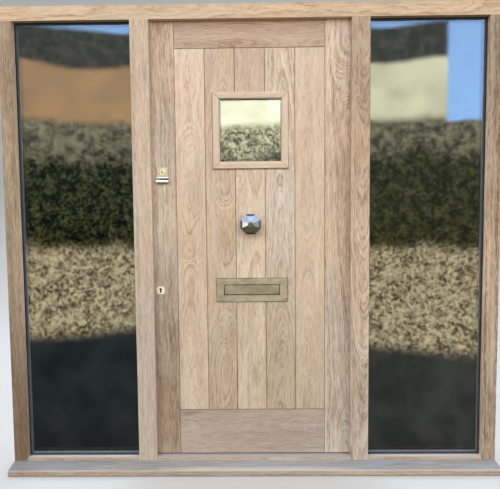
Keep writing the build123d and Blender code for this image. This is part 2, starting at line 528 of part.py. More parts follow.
# ------------------------------------------------------------------ leaf: boards
CUT_X = (VIS_X[0] - VIS_LINING, VIS_X[1] + VIS_LINING)
CUT_Z = (VIS_Z[0] - VIS_LINING, VIS_Z[1] + VIS_LINING)
END_TONGUE = 8.0
board_list = [
    ("board_1", 0, BOTTOM_RAIL_Z, TOP_RAIL_Z),
    ("board_2", 1, BOTTOM_RAIL_Z, TOP_RAIL_Z),
    ("board_3_lower", 2, BOTTOM_RAIL_Z, SLOT_Z[0]),
    ("board_3_middle", 2, SLOT_Z[1], CUT_Z[0]),
    ("board_3_upper", 2, CUT_Z[1], TOP_RAIL_Z),
    ("board_4", 3, BOTTOM_RAIL_Z, TOP_RAIL_Z),
    ("board_5", 4, BOTTOM_RAIL_Z, TOP_RAIL_Z),
]
for label, k, z0, z1 in board_list:
    x0, x1 = JOINTS[k] + GAP, JOINTS[k + 1] - GAP
    low, high = z0 == BOTTOM_RAIL_Z, z1 == TOP_RAIL_Z
    za, zb = z0 + (GAP if low else 0), z1 - (GAP if high else 0)
    with BuildPart() as board:
        block((x0, x1), (LEAF_Y0, BOARD_Y1), (za, zb))
        chamfer(front_edges(board, Axis.Z), VEE)
        across = front_edges(board, Axis.X).sort_by(Axis.Z)
        if low:
            chamfer(across[0], 2.0)
        if high:
            across = front_edges(board, Axis.X).sort_by(Axis.Z)
            chamfer(across[-1], 2.0)
        # tongue on the right, and on the left of the first board only
        ta, tb = (za + 1 if low else za), (zb - 1 if high else zb)
        block((x1, x1 + 8.0), TONGUE_Y, (ta, tb))
        if k == 0:
            block((x0 - 8.0, x0), TONGUE_Y, (ta, tb))
        else:
            block((x0, x0 + 8.8), GROOVE_Y, (za - 1, zb + 1), mode=Mode.SUBTRACT)
        # tongues on the ends that meet the rails
        if low:
            block((x0 + 10, x1 - 2), TONGUE_Y, (z0 - END_TONGUE, za + 1))
        if high:
            block((x0 + 10, x1 - 2), TONGUE_Y, (zb - 1, z1 + END_TONGUE))
        if k in (1, 3):
            block(CUT_X, (LEAF_Y0 - 1, BOARD_Y1 + 1), CUT_Z, mode=Mode.SUBTRACT)
            block(SLOT_X, (LEAF_Y0 - 1, BOARD_Y1 + 1), SLOT_Z, mode=Mode.SUBTRACT)
            add(letter_plate_bolts.part, mode=Mode.SUBTRACT)
        if label == "board_3_middle":
            add(knob_bolt.part, mode=Mode.SUBTRACT)
    board.part.label = label
    export_step(board.part, f"parts/{label}.step")

# ------------------------------------------------------------ leaf: vision panel
SURROUND = [(0, 29.5), (5.5, 24), (29.5, 24), (31.5, 26), (31.5, 31), (18, 31), (18, 78), (9, 78), (9, 40), (0, 40)]
for side in ("top", "bottom", "left", "right"):
    vision_bar = mitred_bar(side, VIS_X, VIS_Z, SURROUND, gap=0.25)
    with BuildPart() as vision_frame:
        add(vision_bar)
    vision_frame.part.label = f"vision_frame_{side}"
    export_step(vision_frame.part, f"parts/vision_frame_{side}.step")

VIS_BEAD = [(0, 61), (0, 72), (3, 75), (9, 75), (9, 61)]
vision_bars = [mitred_bar(edge, VIS_X, VIS_Z, VIS_BEAD, gap=0.15) for edge in ("left", "right", "top", "bottom")]
with BuildPart() as vision_beads:
    for bar in vision_bars:
        add(bar)
vision_beads.part.label = "vision_beads"
export_step(vision_beads.part, "parts/vision_beads.step")

vis_pane_x = (VIS_X[0] - 8, VIS_X[1] + 8)
vis_pane_z = (VIS_Z[0] - 8, VIS_Z[1] + 8)
with BuildPart() as vision_outer_pane:
    block(vis_pane_x, (40, 44), vis_pane_z)
vision_outer_pane.part.label = "vision_outer_pane"
export_step(vision_outer_pane.part, "parts/vision_outer_pane.step")

with BuildPart() as vision_inner_pane:
    block(vis_pane_x, (57, 61), vis_pane_z)
vision_inner_pane.part.label = "vision_inner_pane"
export_step(vision_inner_pane.part, "parts/vision_inner_pane.step")

with BuildPart() as vision_spacer_bar:
    with BuildSketch(at_y(57.0)):
        with Locations((sum(VIS_X) / 2, sum(VIS_Z) / 2)):
            Rectangle(VIS_X[1] - VIS_X[0] + 15, VIS_Z[1] - VIS_Z[0] + 15)
            Rectangle(VIS_X[1] - VIS_X[0] - 6, VIS_Z[1] - VIS_Z[0] - 6, mode=Mode.SUBTRACT)
    extrude(amount=13.0)
vision_spacer_bar.part.label = "vision_spacer_bar"
export_step(vision_spacer_bar.part, "parts/vision_spacer_bar.step")

# ------------------------------------------------------------------ letter plate
with BuildPart() as letter_plate:
    with BuildSketch(at_y(LEAF_Y0)):
        with Locations((LP_CX, LP_CZ)):
            Rectangle(LP_W, LP_H)
        with Locations((LP_CX, LP_OPEN_CZ)):
            Rectangle(LP_OPEN_W, LP_OPEN_H, mode=Mode.SUBTRACT)
    extrude(amount=6.0)
    chamfer(letter_plate.faces().sort_by(Axis.Y)[0].outer_wire().edges(), 2.4)
    # holes for the flap's trunnions
    rod_x(FLAP_AXIS[0], FLAP_AXIS[1], 1.31, (LP_CX - 132.0, LP_CX + 132.0), mode=Mode.SUBTRACT)
    add(letter_plate_bolts.part, mode=Mode.SUBTRACT)
letter_plate.part.label = "letter_plate"
export_step(letter_plate.part, "parts/letter_plate.step")

with BuildPart() as letter_flap:
    # thin flap, set back in the plate's opening, with a thicker top that
    # holds the pivot
    with BuildSketch(Plane.YZ.offset(LP_CX - 124.5)):
        with BuildLine():
            Polyline((27.2, 811.7), (29.6, 811.7), (29.6, 848.0), (30.9, 852.0), (30.9, 854.6), (29.4, 856.0),
                     (27.2, 856.0), close=True)
        make_face()
    extrude(amount=249.0)
    rod_x(FLAP_AXIS[0], FLAP_AXIS[1], 1.25, (LP_CX - 131.5, LP_CX + 131.5))
letter_flap.part.label = "letter_flap"
export_step(letter_flap.part, "parts/letter_flap.step")

with BuildPart() as letter_plate_inner:
    with BuildSketch(at_y(88.0)):
        with Locations((LP_CX, LP_OPEN_CZ)):
            Rectangle(304.0, 96.0)
            Rectangle(256.0, 52.0, mode=Mode.SUBTRACT)
    extrude(amount=3.0)
    chamfer(letter_plate_inner.faces().sort_by(Axis.Y)[-1].outer_wire().edges(), 1.2)
    # lugs that carry the inside flap
    for s in (-1, 1):
        block(sorted((LP_CX + s * 132.0, LP_CX + s * 137.0)), (87.0, 92.6), (861.5, 868.0))
    rod_x(INNER_AXIS[0], INNER_AXIS[1], 1.46, (LP_CX - 137.5, LP_CX + 137.5), mode=Mode.SUBTRACT)
    add(letter_plate_bolts.part, mode=Mode.SUBTRACT)
letter_plate_inner.part.label = "letter_plate_inner"
export_step(letter_plate_inner.part, "parts/letter_plate_inner.step")

# inside flap, hung from the lugs: it covers the slot against draughts
with BuildPart() as letter_flap_inner:
    block((LP_CX - 131.0, LP_CX + 131.0), (88.5, 91.1), (803.5, 865.9))
    chamfer(letter_flap_inner.faces().sort_by(Axis.Y)[-1].edges().filter_by(Axis.Z), 1.0)
    rod_x(INNER_AXIS[0], INNER_AXIS[1], 1.4, (LP_CX - 136.5, LP_CX + 136.5))
letter_flap_inner.part.label = "letter_flap_inner"
export_step(letter_flap_inner.part, "parts/letter_flap_inner.step")

# ------------------------------------------------------------------- centre knob
# octagonal: eight facets rise to a small boss, inside a steeper bevelled rim,
# on a round neck and rose
KNOB_SECTIONS = [(11.5, -25.2), (36.5, -14.0), (45.6, -6.8), (46.5, -3.0), (37.0, 9.0)]   # half width, y
with BuildPart() as centre_knob:
    for (a0, y0), (a1, y1) in zip(KNOB_SECTIONS, KNOB_SECTIONS[1:]):
        with BuildSketch(at_y(y0)):
            with Locations((KNOB_X, KNOB_Z)):
                RegularPolygon(a0, 8, major_radius=False, rotation=22.5)
        with BuildSketch(at_y(y1)):
            with Locations((KNOB_X, KNOB_Z)):
                RegularPolygon(a1, 8, major_radius=False, rotation=22.5)
        loft(ruled=True)
    rod_y(KNOB_X, KNOB_Z, 9.2, (-26.4, -20.0))
    chamfer(centre_knob.faces().sort_by(Axis.Y)[0].edges(), 1.1)
    rod_y(KNOB_X, KNOB_Z, 14.0, (6.0, 27.0))
    rod_y(KNOB_X, KNOB_Z, 26.0, (26.0, LEAF_Y0))
    chamfer(centre_knob.faces().filter_by(Axis.Y).filter_by(lambda f: abs(f.center().Y - 26.0) < 0.01).edges().sort_by(SortBy.LENGTH)[-1], 3.0)
    add(knob_bolt.part, mode=Mode.SUBTRACT)
centre_knob.part.label = "centre_knob"
export_step(centre_knob.part, "parts/centre_knob.step")

# ------------------------------------------------------------------- escutcheons
ESC_CX, ESC_CZ = -418.6, 832.7
with BuildPart() as escutcheons:
    for y_back, y_flat, y_top in ((LEAF_Y0, 28.0, 26.8), (LEAF_Y1, 88.0, 89.2)):
        for (w, h), ya, yb in (((37.0, 35.4), y_back, y_flat), ((20.5, 35.4), y_flat, y_top)):
            with BuildSketch(at_y(max(ya, yb))):
                with Locations((ESC_CX, ESC_CZ)):
                    Rectangle(w, h)
                    if w > 30:
                        # stepped corners
                        with GridLocations(37.0, 35.4, 2, 2):
                            Rectangle(9.6, 9.6, mode=Mode.SUBTRACT)
            extrude(amount=abs(yb - ya))
    keyhole((20.0, 95.0), Mode.SUBTRACT)
escutcheons.part.label = "escutcheons"
export_step(escutcheons.part, "parts/escutcheons.step")

# ---------------------------------------------------------------------- deadlock
with BuildPart() as deadlock_case:
    block((-LEAF_X, -454.5), (46.0, 70.0), (790.0, 934.0))
    block((-454.5, -392.0), (50.0, 66.0), (812.0, 888.0))
    block((-454.5, -393.5), (51.5, 64.5), (813.5, 886.5), mode=Mode.SUBTRACT)
    block((-458.0, -454.0), (52.7, 63.3), (BOLT_Z - 11.3, BOLT_Z + 11.3), mode=Mode.SUBTRACT)
    rod_y(-426.0, BOLT_Z, 3.0, (51.0, 65.0))
    keyhole((49.0, 67.0), Mode.SUBTRACT)
    add(leaf_screw_holes.part, mode=Mode.SUBTRACT)
deadlock_case.part.label = "deadlock_case"
export_step(deadlock_case.part, "parts/deadlock_case.step")

with BuildPart() as deadlock_bolt:
    block((-457.3, -432.0), (53.0, 63.0), (BOLT_Z - 11.0, BOLT_Z + 11.0))
    chamfer(deadlock_bolt.edges().group_by(Axis.X)[0], 0.8)
    block((-433.0, -398.5), (56.0, 60.0), (BOLT_Z - 9.0, BOLT_Z + 9.0))
    block((-429.4, -402.6), (55.0, 61.0), (BOLT_Z - 3.3, BOLT_Z + 3.3), mode=Mode.SUBTRACT)
deadlock_bolt.part.label = "deadlock_bolt"
export_step(deadlock_bolt.part, "parts/deadlock_bolt.step")

# ------------------------------------------------- night latch: outside cylinder
PULL_T = 3.0
PULL_BEND = 7.0        # radius where the plate turns outward
PULL_TURN = 40.0       # angle that it turns through
PULL_SLANT = 9.0       # straight length of the lip
PULL_ROLL = 14.0       # radius of the rolled edge
PULL_CURL = 35.0       # angle that the roll curls back under
TOP_OF_LIP = 1349.0
with BuildPart() as cylinder_pull:
    c, s_ = cos(radians(PULL_TURN)), sin(radians(PULL_TURN))
    h, g = cos(radians(PULL_TURN / 2)), sin(radians(PULL_TURN / 2))
    mid, end = radians((PULL_TURN - PULL_CURL) / 2), radians(-PULL_CURL)
    yp = LEAF_Y0 - PULL_T                                       # front of the plate
    bend = (yp - PULL_BEND, TOP_OF_LIP)                         # centre of the bend
    p1 = (bend[0] + PULL_BEND * c, bend[1] - PULL_BEND * s_)
    p2 = (p1[0] - PULL_SLANT * s_, p1[1] - PULL_SLANT * c)
    roll = (p2[0] + PULL_ROLL * c, p2[1] - PULL_ROLL * s_)      # centre of the roll
    r_in = PULL_ROLL - PULL_T
    p3 = (roll[0] - PULL_ROLL * cos(end), roll[1] + PULL_ROLL * sin(end))
    q3 = (roll[0] - r_in * cos(end), roll[1] + r_in * sin(end))
    q2 = (roll[0] - r_in * c, roll[1] + r_in * s_)
    q1 = (q2[0] + PULL_SLANT * s_, q2[1] + PULL_SLANT * c)
    with BuildSketch(Plane.YZ.offset(NL_X - 32.0)):
        with BuildLine():
            Line((LEAF_Y0, TOP_OF_LIP), (LEAF_Y0, 1395.6))
            Line((LEAF_Y0, 1395.6), (yp, 1395.6))
            Line((yp, 1395.6), (yp, TOP_OF_LIP))
            ThreePointArc((yp, TOP_OF_LIP), (bend[0] + PULL_BEND * h, bend[1] - PULL_BEND * g), p1)
            Line(p1, p2)
            ThreePointArc(p2, (roll[0] - PULL_ROLL * cos(mid), roll[1] + PULL_ROLL * sin(mid)), p3)
            Line(p3, q3)
            ThreePointArc(q3, (roll[0] - r_in * cos(mid), roll[1] + r_in * sin(mid)), q2)
            Line(q2, q1)
            ThreePointArc(q1, (bend[0] + (PULL_BEND + PULL_T) * h, bend[1] - (PULL_BEND + PULL_T) * g), (LEAF_Y0, TOP_OF_LIP))
        make_face()
    extrude(amount=64.0)
    # seen from the front: a square plate that flares to a wider lip
    px0, px1 = NL_X - 25.5, NL_X + 24.5
    with BuildSketch(at_y(LEAF_Y0 + 1)):
        with BuildLine():
            Polyline((px0, 1396), (px1, 1396), (px1, 1350), (px1 + 3, 1340), (px1 + 3, 1326), (px1 - 1, 1318),
                     (px0 + 1, 1318), (px0 - 3, 1326), (px0 - 3, 1340), (px0, 1350), close=True)
        make_face()
    extrude(amount=50.0, mode=Mode.INTERSECT)
    rod_y(NL_X, NL_Z, 14.1, (20.0, 35.0), mode=Mode.SUBTRACT)
cylinder_pull.part.label = "cylinder_pull"
export_step(cylinder_pull.part, "parts/cylinder_pull.step")

with BuildPart() as cylinder_housing:
    rod_y(NL_X, NL_Z, 16.2, (24.0, 28.0))
    chamfer(cylinder_housing.edges().filter_by(GeomType.CIRCLE).sort_by(Axis.Y)[0], 2.0)
    rod_y(NL_X, NL_Z, 14.0, (27.0, 62.0))
    rod_y(NL_X, NL_Z, 8.05, (20.0, 63.0), mode=Mode.SUBTRACT)
cylinder_housing.part.label = "cylinder_housing"
export_step(cylinder_housing.part, "parts/cylinder_housing.step")

with BuildPart() as cylinder_plug:
    rod_y(NL_X, NL_Z, 8.0, (22.5, 62.0))
    rod_y(NL_X, NL_Z, 10.4, (22.4, 23.8))
    block((NL_X - 1.3, NL_X + 1.3), (21.0, 46.0), (NL_Z - 4.8, NL_Z + 4.6), mode=Mode.SUBTRACT)
    block((NL_X - 1.0, NL_X + 1.0), (62.0, 93.0), (NL_Z - 4.0, NL_Z + 4.0))
cylinder_plug.part.label = "cylinder_plug"
export_step(cylinder_plug.part, "parts/cylinder_plug.step")

# ------------------------------------------------------ night latch: inside case
CASE_X = (-456.8, -366.8)
CASE_Z = (1338.0, 1403.0)
with BuildPart() as night_latch_case:
    block(CASE_X, (LEAF_Y1, 115.0), CASE_Z)
    fillet(night_latch_case.edges().group_by(Axis.Y)[-1], 2.0)
    block((-440.0, -380.0), (LEAF_Y1, 88.0), (1327.0, 1414.0))
    block((CASE_X[0] + 2.5, CASE_X[1] - 2.5), (LEAF_Y1 - 1, 112.5), (CASE_Z[0] + 2.5, CASE_Z[1] - 2.5), mode=Mode.SUBTRACT)
    rod_y(NL_X, NL_Z, 6.06, (112.0, 116.0), mode=Mode.SUBTRACT)
    block((-458.0, -454.0), (97.7, 110.3), (1359.2, 1381.8), mode=Mode.SUBTRACT)
    block((-443.0, -429.0), (112.0, 116.0), (1345.9, 1352.1), mode=Mode.SUBTRACT)
    add(leaf_screw_holes.part, mode=Mode.SUBTRACT)
night_latch_case.part.label = "night_latch_case"
export_step(night_latch_case.part, "parts/night_latch_case.step")

with BuildPart() as night_latch_bolt:
    # bolt head, bevelled on the side that meets the keep first
    prism(Plane.XY.offset(1359.5), [(-456.6, 110), (-424, 110), (-424, 98), (-446, 98), (-456.6, 104.5)], 22.0)
    # riser and slide, with two teeth that the spindle's arm works between
    block((-430.0, -424.0), (103.0, 107.0), (1381.5, 1393.0))
    block((-424.0, NL_X + 15.3), (103.0, 107.0), (1386.5, 1393.0))
    block((NL_X - 3.3, NL_X + 1.7), (103.0, 107.0), (1379.5, 1386.5))
    block((NL_X + 10.3, NL_X + 15.3), (103.0, 107.0), (1379.5, 1386.5))
night_latch_bolt.part.label = "night_latch_bolt"
export_step(night_latch_bolt.part, "parts/night_latch_bolt.step")

ARM_REST = 27.5        # the arm leans this far towards the hinges at rest
GRIP_REST = 55.0
with BuildPart() as night_latch_knob:
    rod_y(NL_X, NL_Z, 6.0, (94.0, 116.0))
    with BuildSketch(at_y(106.7)):
        with Locations(Location((NL_X, NL_Z), -ARM_REST)):
            with Locations((0, 7.4)):
                Rectangle(4.0, 14.8)
    extrude(amount=3.4)
    rod_y(NL_X, NL_Z, 9.0, (115.4, 120.0))
    with BuildSketch(at_y(136.0)):
        with Locations(Location((NL_X, NL_Z), -GRIP_REST)):
            SlotOverall(38.0, 14.0)
    extrude(amount=16.0)
    fillet(night_latch_knob.edges().group_by(Axis.Y)[-1], 3.0)
night_latch_knob.part.label = "night_latch_knob"
export_step(night_latch_knob.part, "parts/night_latch_knob.step")

with BuildPart() as night_latch_snib:
    block((-442.0, -432.0), (115.4, 119.4), (1344.0, 1354.0))
    fillet(night_latch_snib.edges().group_by(Axis.Y)[-1], 1.0)
    block((-442.5 + 0.2, -437.3), (108.0, 115.4), (1346.4, 1351.6))
    block((-443.0, -434.0), (108.0, 112.2), (1343.0, 1355.0))
night_latch_snib.part.label = "night_latch_snib"
export_step(night_latch_snib.part, "parts/night_latch_snib.step")
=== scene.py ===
import math

import bpy
from mathutils import Matrix, Vector


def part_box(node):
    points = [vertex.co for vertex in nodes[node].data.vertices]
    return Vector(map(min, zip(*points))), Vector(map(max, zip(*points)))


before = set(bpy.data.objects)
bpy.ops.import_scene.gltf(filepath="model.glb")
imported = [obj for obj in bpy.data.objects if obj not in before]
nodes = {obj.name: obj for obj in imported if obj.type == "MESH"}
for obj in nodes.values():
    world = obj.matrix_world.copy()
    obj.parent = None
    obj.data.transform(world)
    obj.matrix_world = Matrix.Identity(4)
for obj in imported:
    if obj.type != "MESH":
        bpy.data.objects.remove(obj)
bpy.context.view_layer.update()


# ------------------------------------------------------------------ node helpers
class Tree:
    """Short names for building a material's or a group's nodes."""

    def __init__(self, tree):
        self.t = tree
        self.n = tree.nodes
        self.l = tree.links

    def node(self, kind, **props):
        node = self.n.new(kind)
        for k, v in props.items():
            setattr(node, k, v)
        return node

    def put(self, socket, value):
        if value is None:
            return
        if isinstance(value, bpy.types.NodeSocket):
            self.l.new(value, socket)
        else:
            socket.default_value = value

    def math(self, op, a, b=None, c=None, clamp=False):
        m = self.node("ShaderNodeMath", operation=op, use_clamp=clamp)
        for i, v in enumerate((a, b, c)):
            self.put(m.inputs[i], v)
        return m.outputs[0]

    def vmath(self, op, a, b=None, scale=None):
        m = self.node("ShaderNodeVectorMath", operation=op)
        self.put(m.inputs[0], a)
        if b is not None:
            self.put(m.inputs[1], b)
        if scale is not None:
            self.put(m.inputs["Scale"], scale)
        return m.outputs["Value"] if op in ("LENGTH", "DOT_PRODUCT", "DISTANCE") else m.outputs[0]

    def xyz(self, v):
        s = self.node("ShaderNodeSeparateXYZ")
        self.put(s.inputs[0], v)
        return s.outputs[0], s.outputs[1], s.outputs[2]

    def vec(self, x, y, z):
        c = self.node("ShaderNodeCombineXYZ")
        for i, v in enumerate((x, y, z)):
            self.put(c.inputs[i], v)
        return c.outputs[0]

    def noise(self, vector, scale=1.0, detail=2.0, rough=0.5, dim="3D", w=None, dist=0.0, color=False):
        n = self.node("ShaderNodeTexNoise", noise_dimensions=dim)
        if vector is not None and dim != "1D":
            self.put(n.inputs["Vector"], vector)
        if w is not None:
            self.put(n.inputs["W"], w)
        self.put(n.inputs["Scale"], scale)
        self.put(n.inputs["Detail"], detail)
        self.put(n.inputs["Roughness"], rough)
        self.put(n.inputs["Distortion"], dist)
        return n.outputs["Color" if color else "Fac"]

    def white(self, w):
        n = self.node("ShaderNodeTexWhiteNoise", noise_dimensions="1D")
        self.put(n.inputs["W"], w)
        return n.outputs["Value"]

    def ramp(self, x, lo, hi, a=0.0, b=1.0, smooth=True):
        m = self.node("ShaderNodeMapRange", interpolation_type="SMOOTHSTEP" if smooth else "LINEAR")
        for i, v in enumerate((x, lo, hi, a, b)):
            self.put(m.inputs[i], v)
        return m.outputs[0]

    def mix(self, fac, a, b, kind="MIX"):
        m = self.node("ShaderNodeMix", data_type="RGBA", blend_type=kind)
        self.put(m.inputs[0], fac)
        self.put(m.inputs[6], a)
        self.put(m.inputs[7], b)
        return m.outputs[2]

    def curve(self, fac, stops):
        c = self.node("ShaderNodeValToRGB")
        self.put(c.inputs[0], fac)
        ramp = c.color_ramp
        while len(ramp.elements) < len(stops):
            ramp.elements.new(0.5)
        for e, (p, col) in zip(ramp.elements, stops):
            e.position = p
            e.color = col if len(col) == 4 else (*col, 1)
        return c.outputs[0]


def rgb(r, g, b):
    """Screen values 0..255 to a linear colour."""
    out = []
    for v in (r, g, b):
        v /= 255.0
        out.append(v / 12.92 if v <= 0.04045 else ((v + 0.055) / 1.055) ** 2.4)
    return (*out, 1.0)


def material(name):
    m = bpy.data.materials.new(name)
    m.use_nodes = True
    t = Tree(m.node_tree)
    bsdf = m.node_tree.nodes["Principled BSDF"]
    return m, t, bsdf


def coords(t):
    return t.node("ShaderNodeTexCoord").outputs["Object"]


# --------------------------------------------------------------------- oak group
def make_oak_group():
    """Solid oak. Input Vector: x across, y through, z along the grain, in
    metres. The years lie round a pith line, so that a face cuts them as
    straight grain or as nested arches, depending on where the pith lies.
    Extra, in metres, pushes the years aside, as round a knot."""
    g = bpy.data.node_groups.new("oak_grain", "ShaderNodeTree")
    i = g.interface
    i.new_socket("Vector", in_out="INPUT", socket_type="NodeSocketVector")
    for name, value in (("PithX", 0.0), ("PithY", 0.1), ("Taper", 0.02), ("Spacing", 0.0032), ("Seed", 0.0),
                        ("Wave", 0.0), ("Bend", 1.0), ("Curl", 1.0), ("Figure", 1.0), ("Fine", 1.0),
                        ("Streaks", 0.5), ("Cloud", 0.5), ("Rays", 0.4), ("Extra", 0.0)):
        s = i.new_socket(name, in_out="INPUT", socket_type="NodeSocketFloat")
        s.default_value = value
    for name, value in (("Light", rgb(222, 196, 168)), ("Dark", rgb(170, 138, 110))):
        s = i.new_socket(name, in_out="INPUT", socket_type="NodeSocketColor")
        s.default_value = value
    i.new_socket("Color", in_out="OUTPUT", socket_type="NodeSocketColor")
    i.new_socket("Height", in_out="OUTPUT", socket_type="NodeSocketFloat")
    i.new_socket("Tone", in_out="OUTPUT", socket_type="NodeSocketFloat")
    t = Tree(g)
    gi = t.node("NodeGroupInput").outputs
    go = t.node("NodeGroupOutput")
    v, seed = gi["Vector"], gi["Seed"]
    mul, add, sub = (lambda a, b: t.math("MULTIPLY", a, b)), (lambda a, b: t.math("ADD", a, b)), (lambda a, b: t.math("SUBTRACT", a, b))
    x, y, z = t.xyz(v)
    zs = add(z, mul(seed, 2.37))

    # slow wander of the fibre along the member
    slow = t.noise(t.vec(add(mul(x, 2.0), mul(seed, 1.7)), mul(y, 2.0), mul(zs, 1.25)), 1.0, 2.0, 0.5, color=True)
    sx, sy, sz = t.xyz(t.vmath("SUBTRACT", slow, (0.5, 0.5, 0.5)))
    wx = add(x, mul(mul(sx, gi["Bend"]), 0.060))
    wy = add(y, mul(mul(sy, gi["Bend"]), 0.035))
    curl = sub(t.noise(t.vec(add(mul(x, 15.0), seed), mul(y, 15.0), mul(zs, 4.5)), 1.0, 3.0, 0.55), 0.5)
    dx = sub(wx, gi["PithX"])
    dy = sub(wy, gi["PithY"])
    rr = t.math("SQRT", add(mul(dx, dx), mul(dy, dy)))
    rise = sub(t.noise(None, 1.0, 1.5, 0.5, dim="1D", w=add(mul(z, 1.7), mul(seed, 3.1))), 0.5)
    cone = add(add(rr, mul(z, gi["Taper"])), mul(rise, gi["Wave"]))
    cone = add(add(cone, mul(mul(curl, gi["Curl"]), 0.009)), gi["Extra"])
    tremble = sub(t.noise(t.vec(mul(x, 105.0), mul(y, 105.0), mul(zs, 30.0)), 1.0, 2.0, 0.6), 0.5)
    cone = add(cone, mul(tremble, 0.0036))
    year = t.math("DIVIDE", cone, gi["Spacing"])
    w0 = add(year, mul(seed, 17.3))
    # uneven years: groups of dark and pale ones, and each one's porous line
    groups = t.noise(None, 1.0, 2.0, 0.6, dim="1D", w=mul(w0, 0.24))
    single = t.noise(None, 1.0, 1.0, 0.6, dim="1D", w=mul(w0, 0.9))
    frac = t.math("FRACT", add(w0, mul(groups, 1.7)))
    line = mul(t.ramp(frac, 0.0, 0.10), t.ramp(frac, 0.55, 0.14))

    # fibre that follows the wander
    fx, fy = add(wx, mul(seed, 0.37)), add(wy, mul(seed, 0.19))
    fibre = t.noise(t.vec(mul(fx, 230.0), mul(fy, 230.0), mul(zs, 22.0)), 1.0, 2.0, 0.6)
    thread = t.noise(t.vec(mul(fx, 640.0), mul(fy, 640.0), mul(zs, 34.0)), 1.0, 2.0, 0.6)
    dash = t.noise(t.vec(mul(fx, 1250.0), mul(fy, 1250.0), mul(zs, 70.0)), 1.0, 2.0, 0.65)
    stroke = t.noise(t.vec(mul(fx, 92.0), mul(fy, 92.0), mul(zs, 7.5)), 1.0, 3.0, 0.6)
    stripe = t.noise(t.vec(mul(fx, 24.0), mul(fy, 24.0), mul(zs, 0.9)), 1.0, 3.0, 0.55)
    cloud = t.noise(t.vec(add(mul(x, 8.0), seed), mul(y, 8.0), mul(zs, 3.2)), 1.0, 4.0, 0.6)
    blur = t.noise(t.vec(add(mul(x, 46.0), seed), mul(y, 46.0), mul(zs, 17.0)), 1.0, 3.0, 0.65)
    patchy = t.noise(t.vec(add(mul(x, 26.0), mul(seed, 2.0)), mul(y, 26.0), mul(zs, 8.0)), 1.0, 3.0, 0.6)

    # the years show in patches, broken by the fibre
    broken = mul(t.ramp(fibre, 0.28, 0.72, 0.25, 1.55, smooth=False), t.ramp(patchy, 0.34, 0.62, 0.30, 1.25))
    rings = add(mul(sub(groups, 0.5), 1.15), add(mul(sub(single, 0.5), 0.8), mul(sub(line, 0.28), 0.42)))
    tone = mul(mul(rings, broken), gi["Figure"])
    tone = add(tone, mul(add(mul(sub(fibre, 0.5), 1.5), add(mul(sub(thread, 0.5), 0.9), mul(sub(stroke, 0.5), 0.75))), gi["Fine"]))
    tone = add(tone, mul(sub(stripe, 0.5), mul(gi["Streaks"], 1.5)))
    tone = add(tone, mul(add(mul(sub(cloud, 0.5), 1.3), mul(sub(blur, 0.5), 0.9)), gi["Cloud"]))
    tone = add(tone, 0.40)
    base = t.mix(add(tone, 0.0), gi["Light"], gi["Dark"])
    pale = t.ramp(tone, 0.0, -0.45, 0.0, 0.55)
    base = t.mix(pale, base, t.mix(1.0, gi["Light"], (1.16, 1.17, 1.18, 1), "MULTIPLY"))
    deep = t.ramp(tone, 1.0, 1.6, 0.0, 0.6)
    base = t.mix(deep, base, t.mix(1.0, gi["Dark"], (0.72, 0.68, 0.64, 1), "MULTIPLY"))
    # warmth and coolness, slowly varying
    hue = t.noise(t.vec(add(mul(x, 11.0), seed), mul(y, 11.0), mul(zs, 2.2)), 1.0, 3.0, 0.6)
    base = t.mix(1.0, base, t.mix(t.ramp(hue, 0.3, 0.7), (1.035, 0.985, 0.95, 1), (0.972, 1.0, 1.045, 1)), "MULTIPLY")
    # pores: short dashes, mostly in the porous line of each year
    pore = mul(t.ramp(dash, 0.55, 0.70), t.ramp(line, 0.0, 0.8, 0.22, 1.0))
    base = t.mix(mul(pore, 0.45), base, t.mix(1.0, gi["Dark"], (0.52, 0.45, 0.40, 1), "MULTIPLY"))
    # rays: flecks across the grain, where the face lies along them
    ang = t.math("ARCTAN2", dy, dx)
    ray_v = t.vec(mul(ang, mul(t.ramp(rr, 0.02, 0.2, 0.02, 0.2, smooth=False), 700.0)), mul(rr, 60.0), mul(zs, 95.0))
    ray = t.ramp(t.noise(ray_v, 1.0, 1.0, 0.4), 0.62, 0.72)
    base = t.mix(mul(mul(ray, gi["Rays"]), 0.6), base, t.mix(1.0, gi["Light"], (1.10, 1.08, 1.04, 1), "MULTIPLY"))
    t.put(go.inputs["Color"], base)
    t.put(go.inputs["Height"], sub(mul(thread, 0.5), add(mul(pore, 1.0), mul(line, 0.2))))
    t.put(go.inputs["Tone"], tone)
    return g


OAK = make_oak_group()


def spot(t, ox, oz, wob, place):
    """1 at the middle of a tilted oval, falling to 0 at its edge.
    place: centre x, z, radii x, z, and the tilt in degrees."""
    cx, cz, rx, rz, tilt = place
    c, s = math.cos(math.radians(tilt)), math.sin(math.radians(tilt))
    u = t.math("ADD", t.math("MULTIPLY", ox, c / rx), -(cx * c) / rx)
    u = t.math("ADD", u, t.math("MULTIPLY", t.math("SUBTRACT", oz, cz), s / rx))
    w = t.math("ADD", t.math("MULTIPLY", ox, -s / rz), (cx * s) / rz)
    w = t.math("ADD", w, t.math("MULTIPLY", t.math("SUBTRACT", oz, cz), c / rz))
    d = t.math("SQRT", t.math("ADD", t.math("MULTIPLY", u, u), t.math("MULTIPLY", w, w)))
    if wob is not None:
        d = t.math("ADD", d, wob)
    return t.ramp(d, 1.0, 0.0)


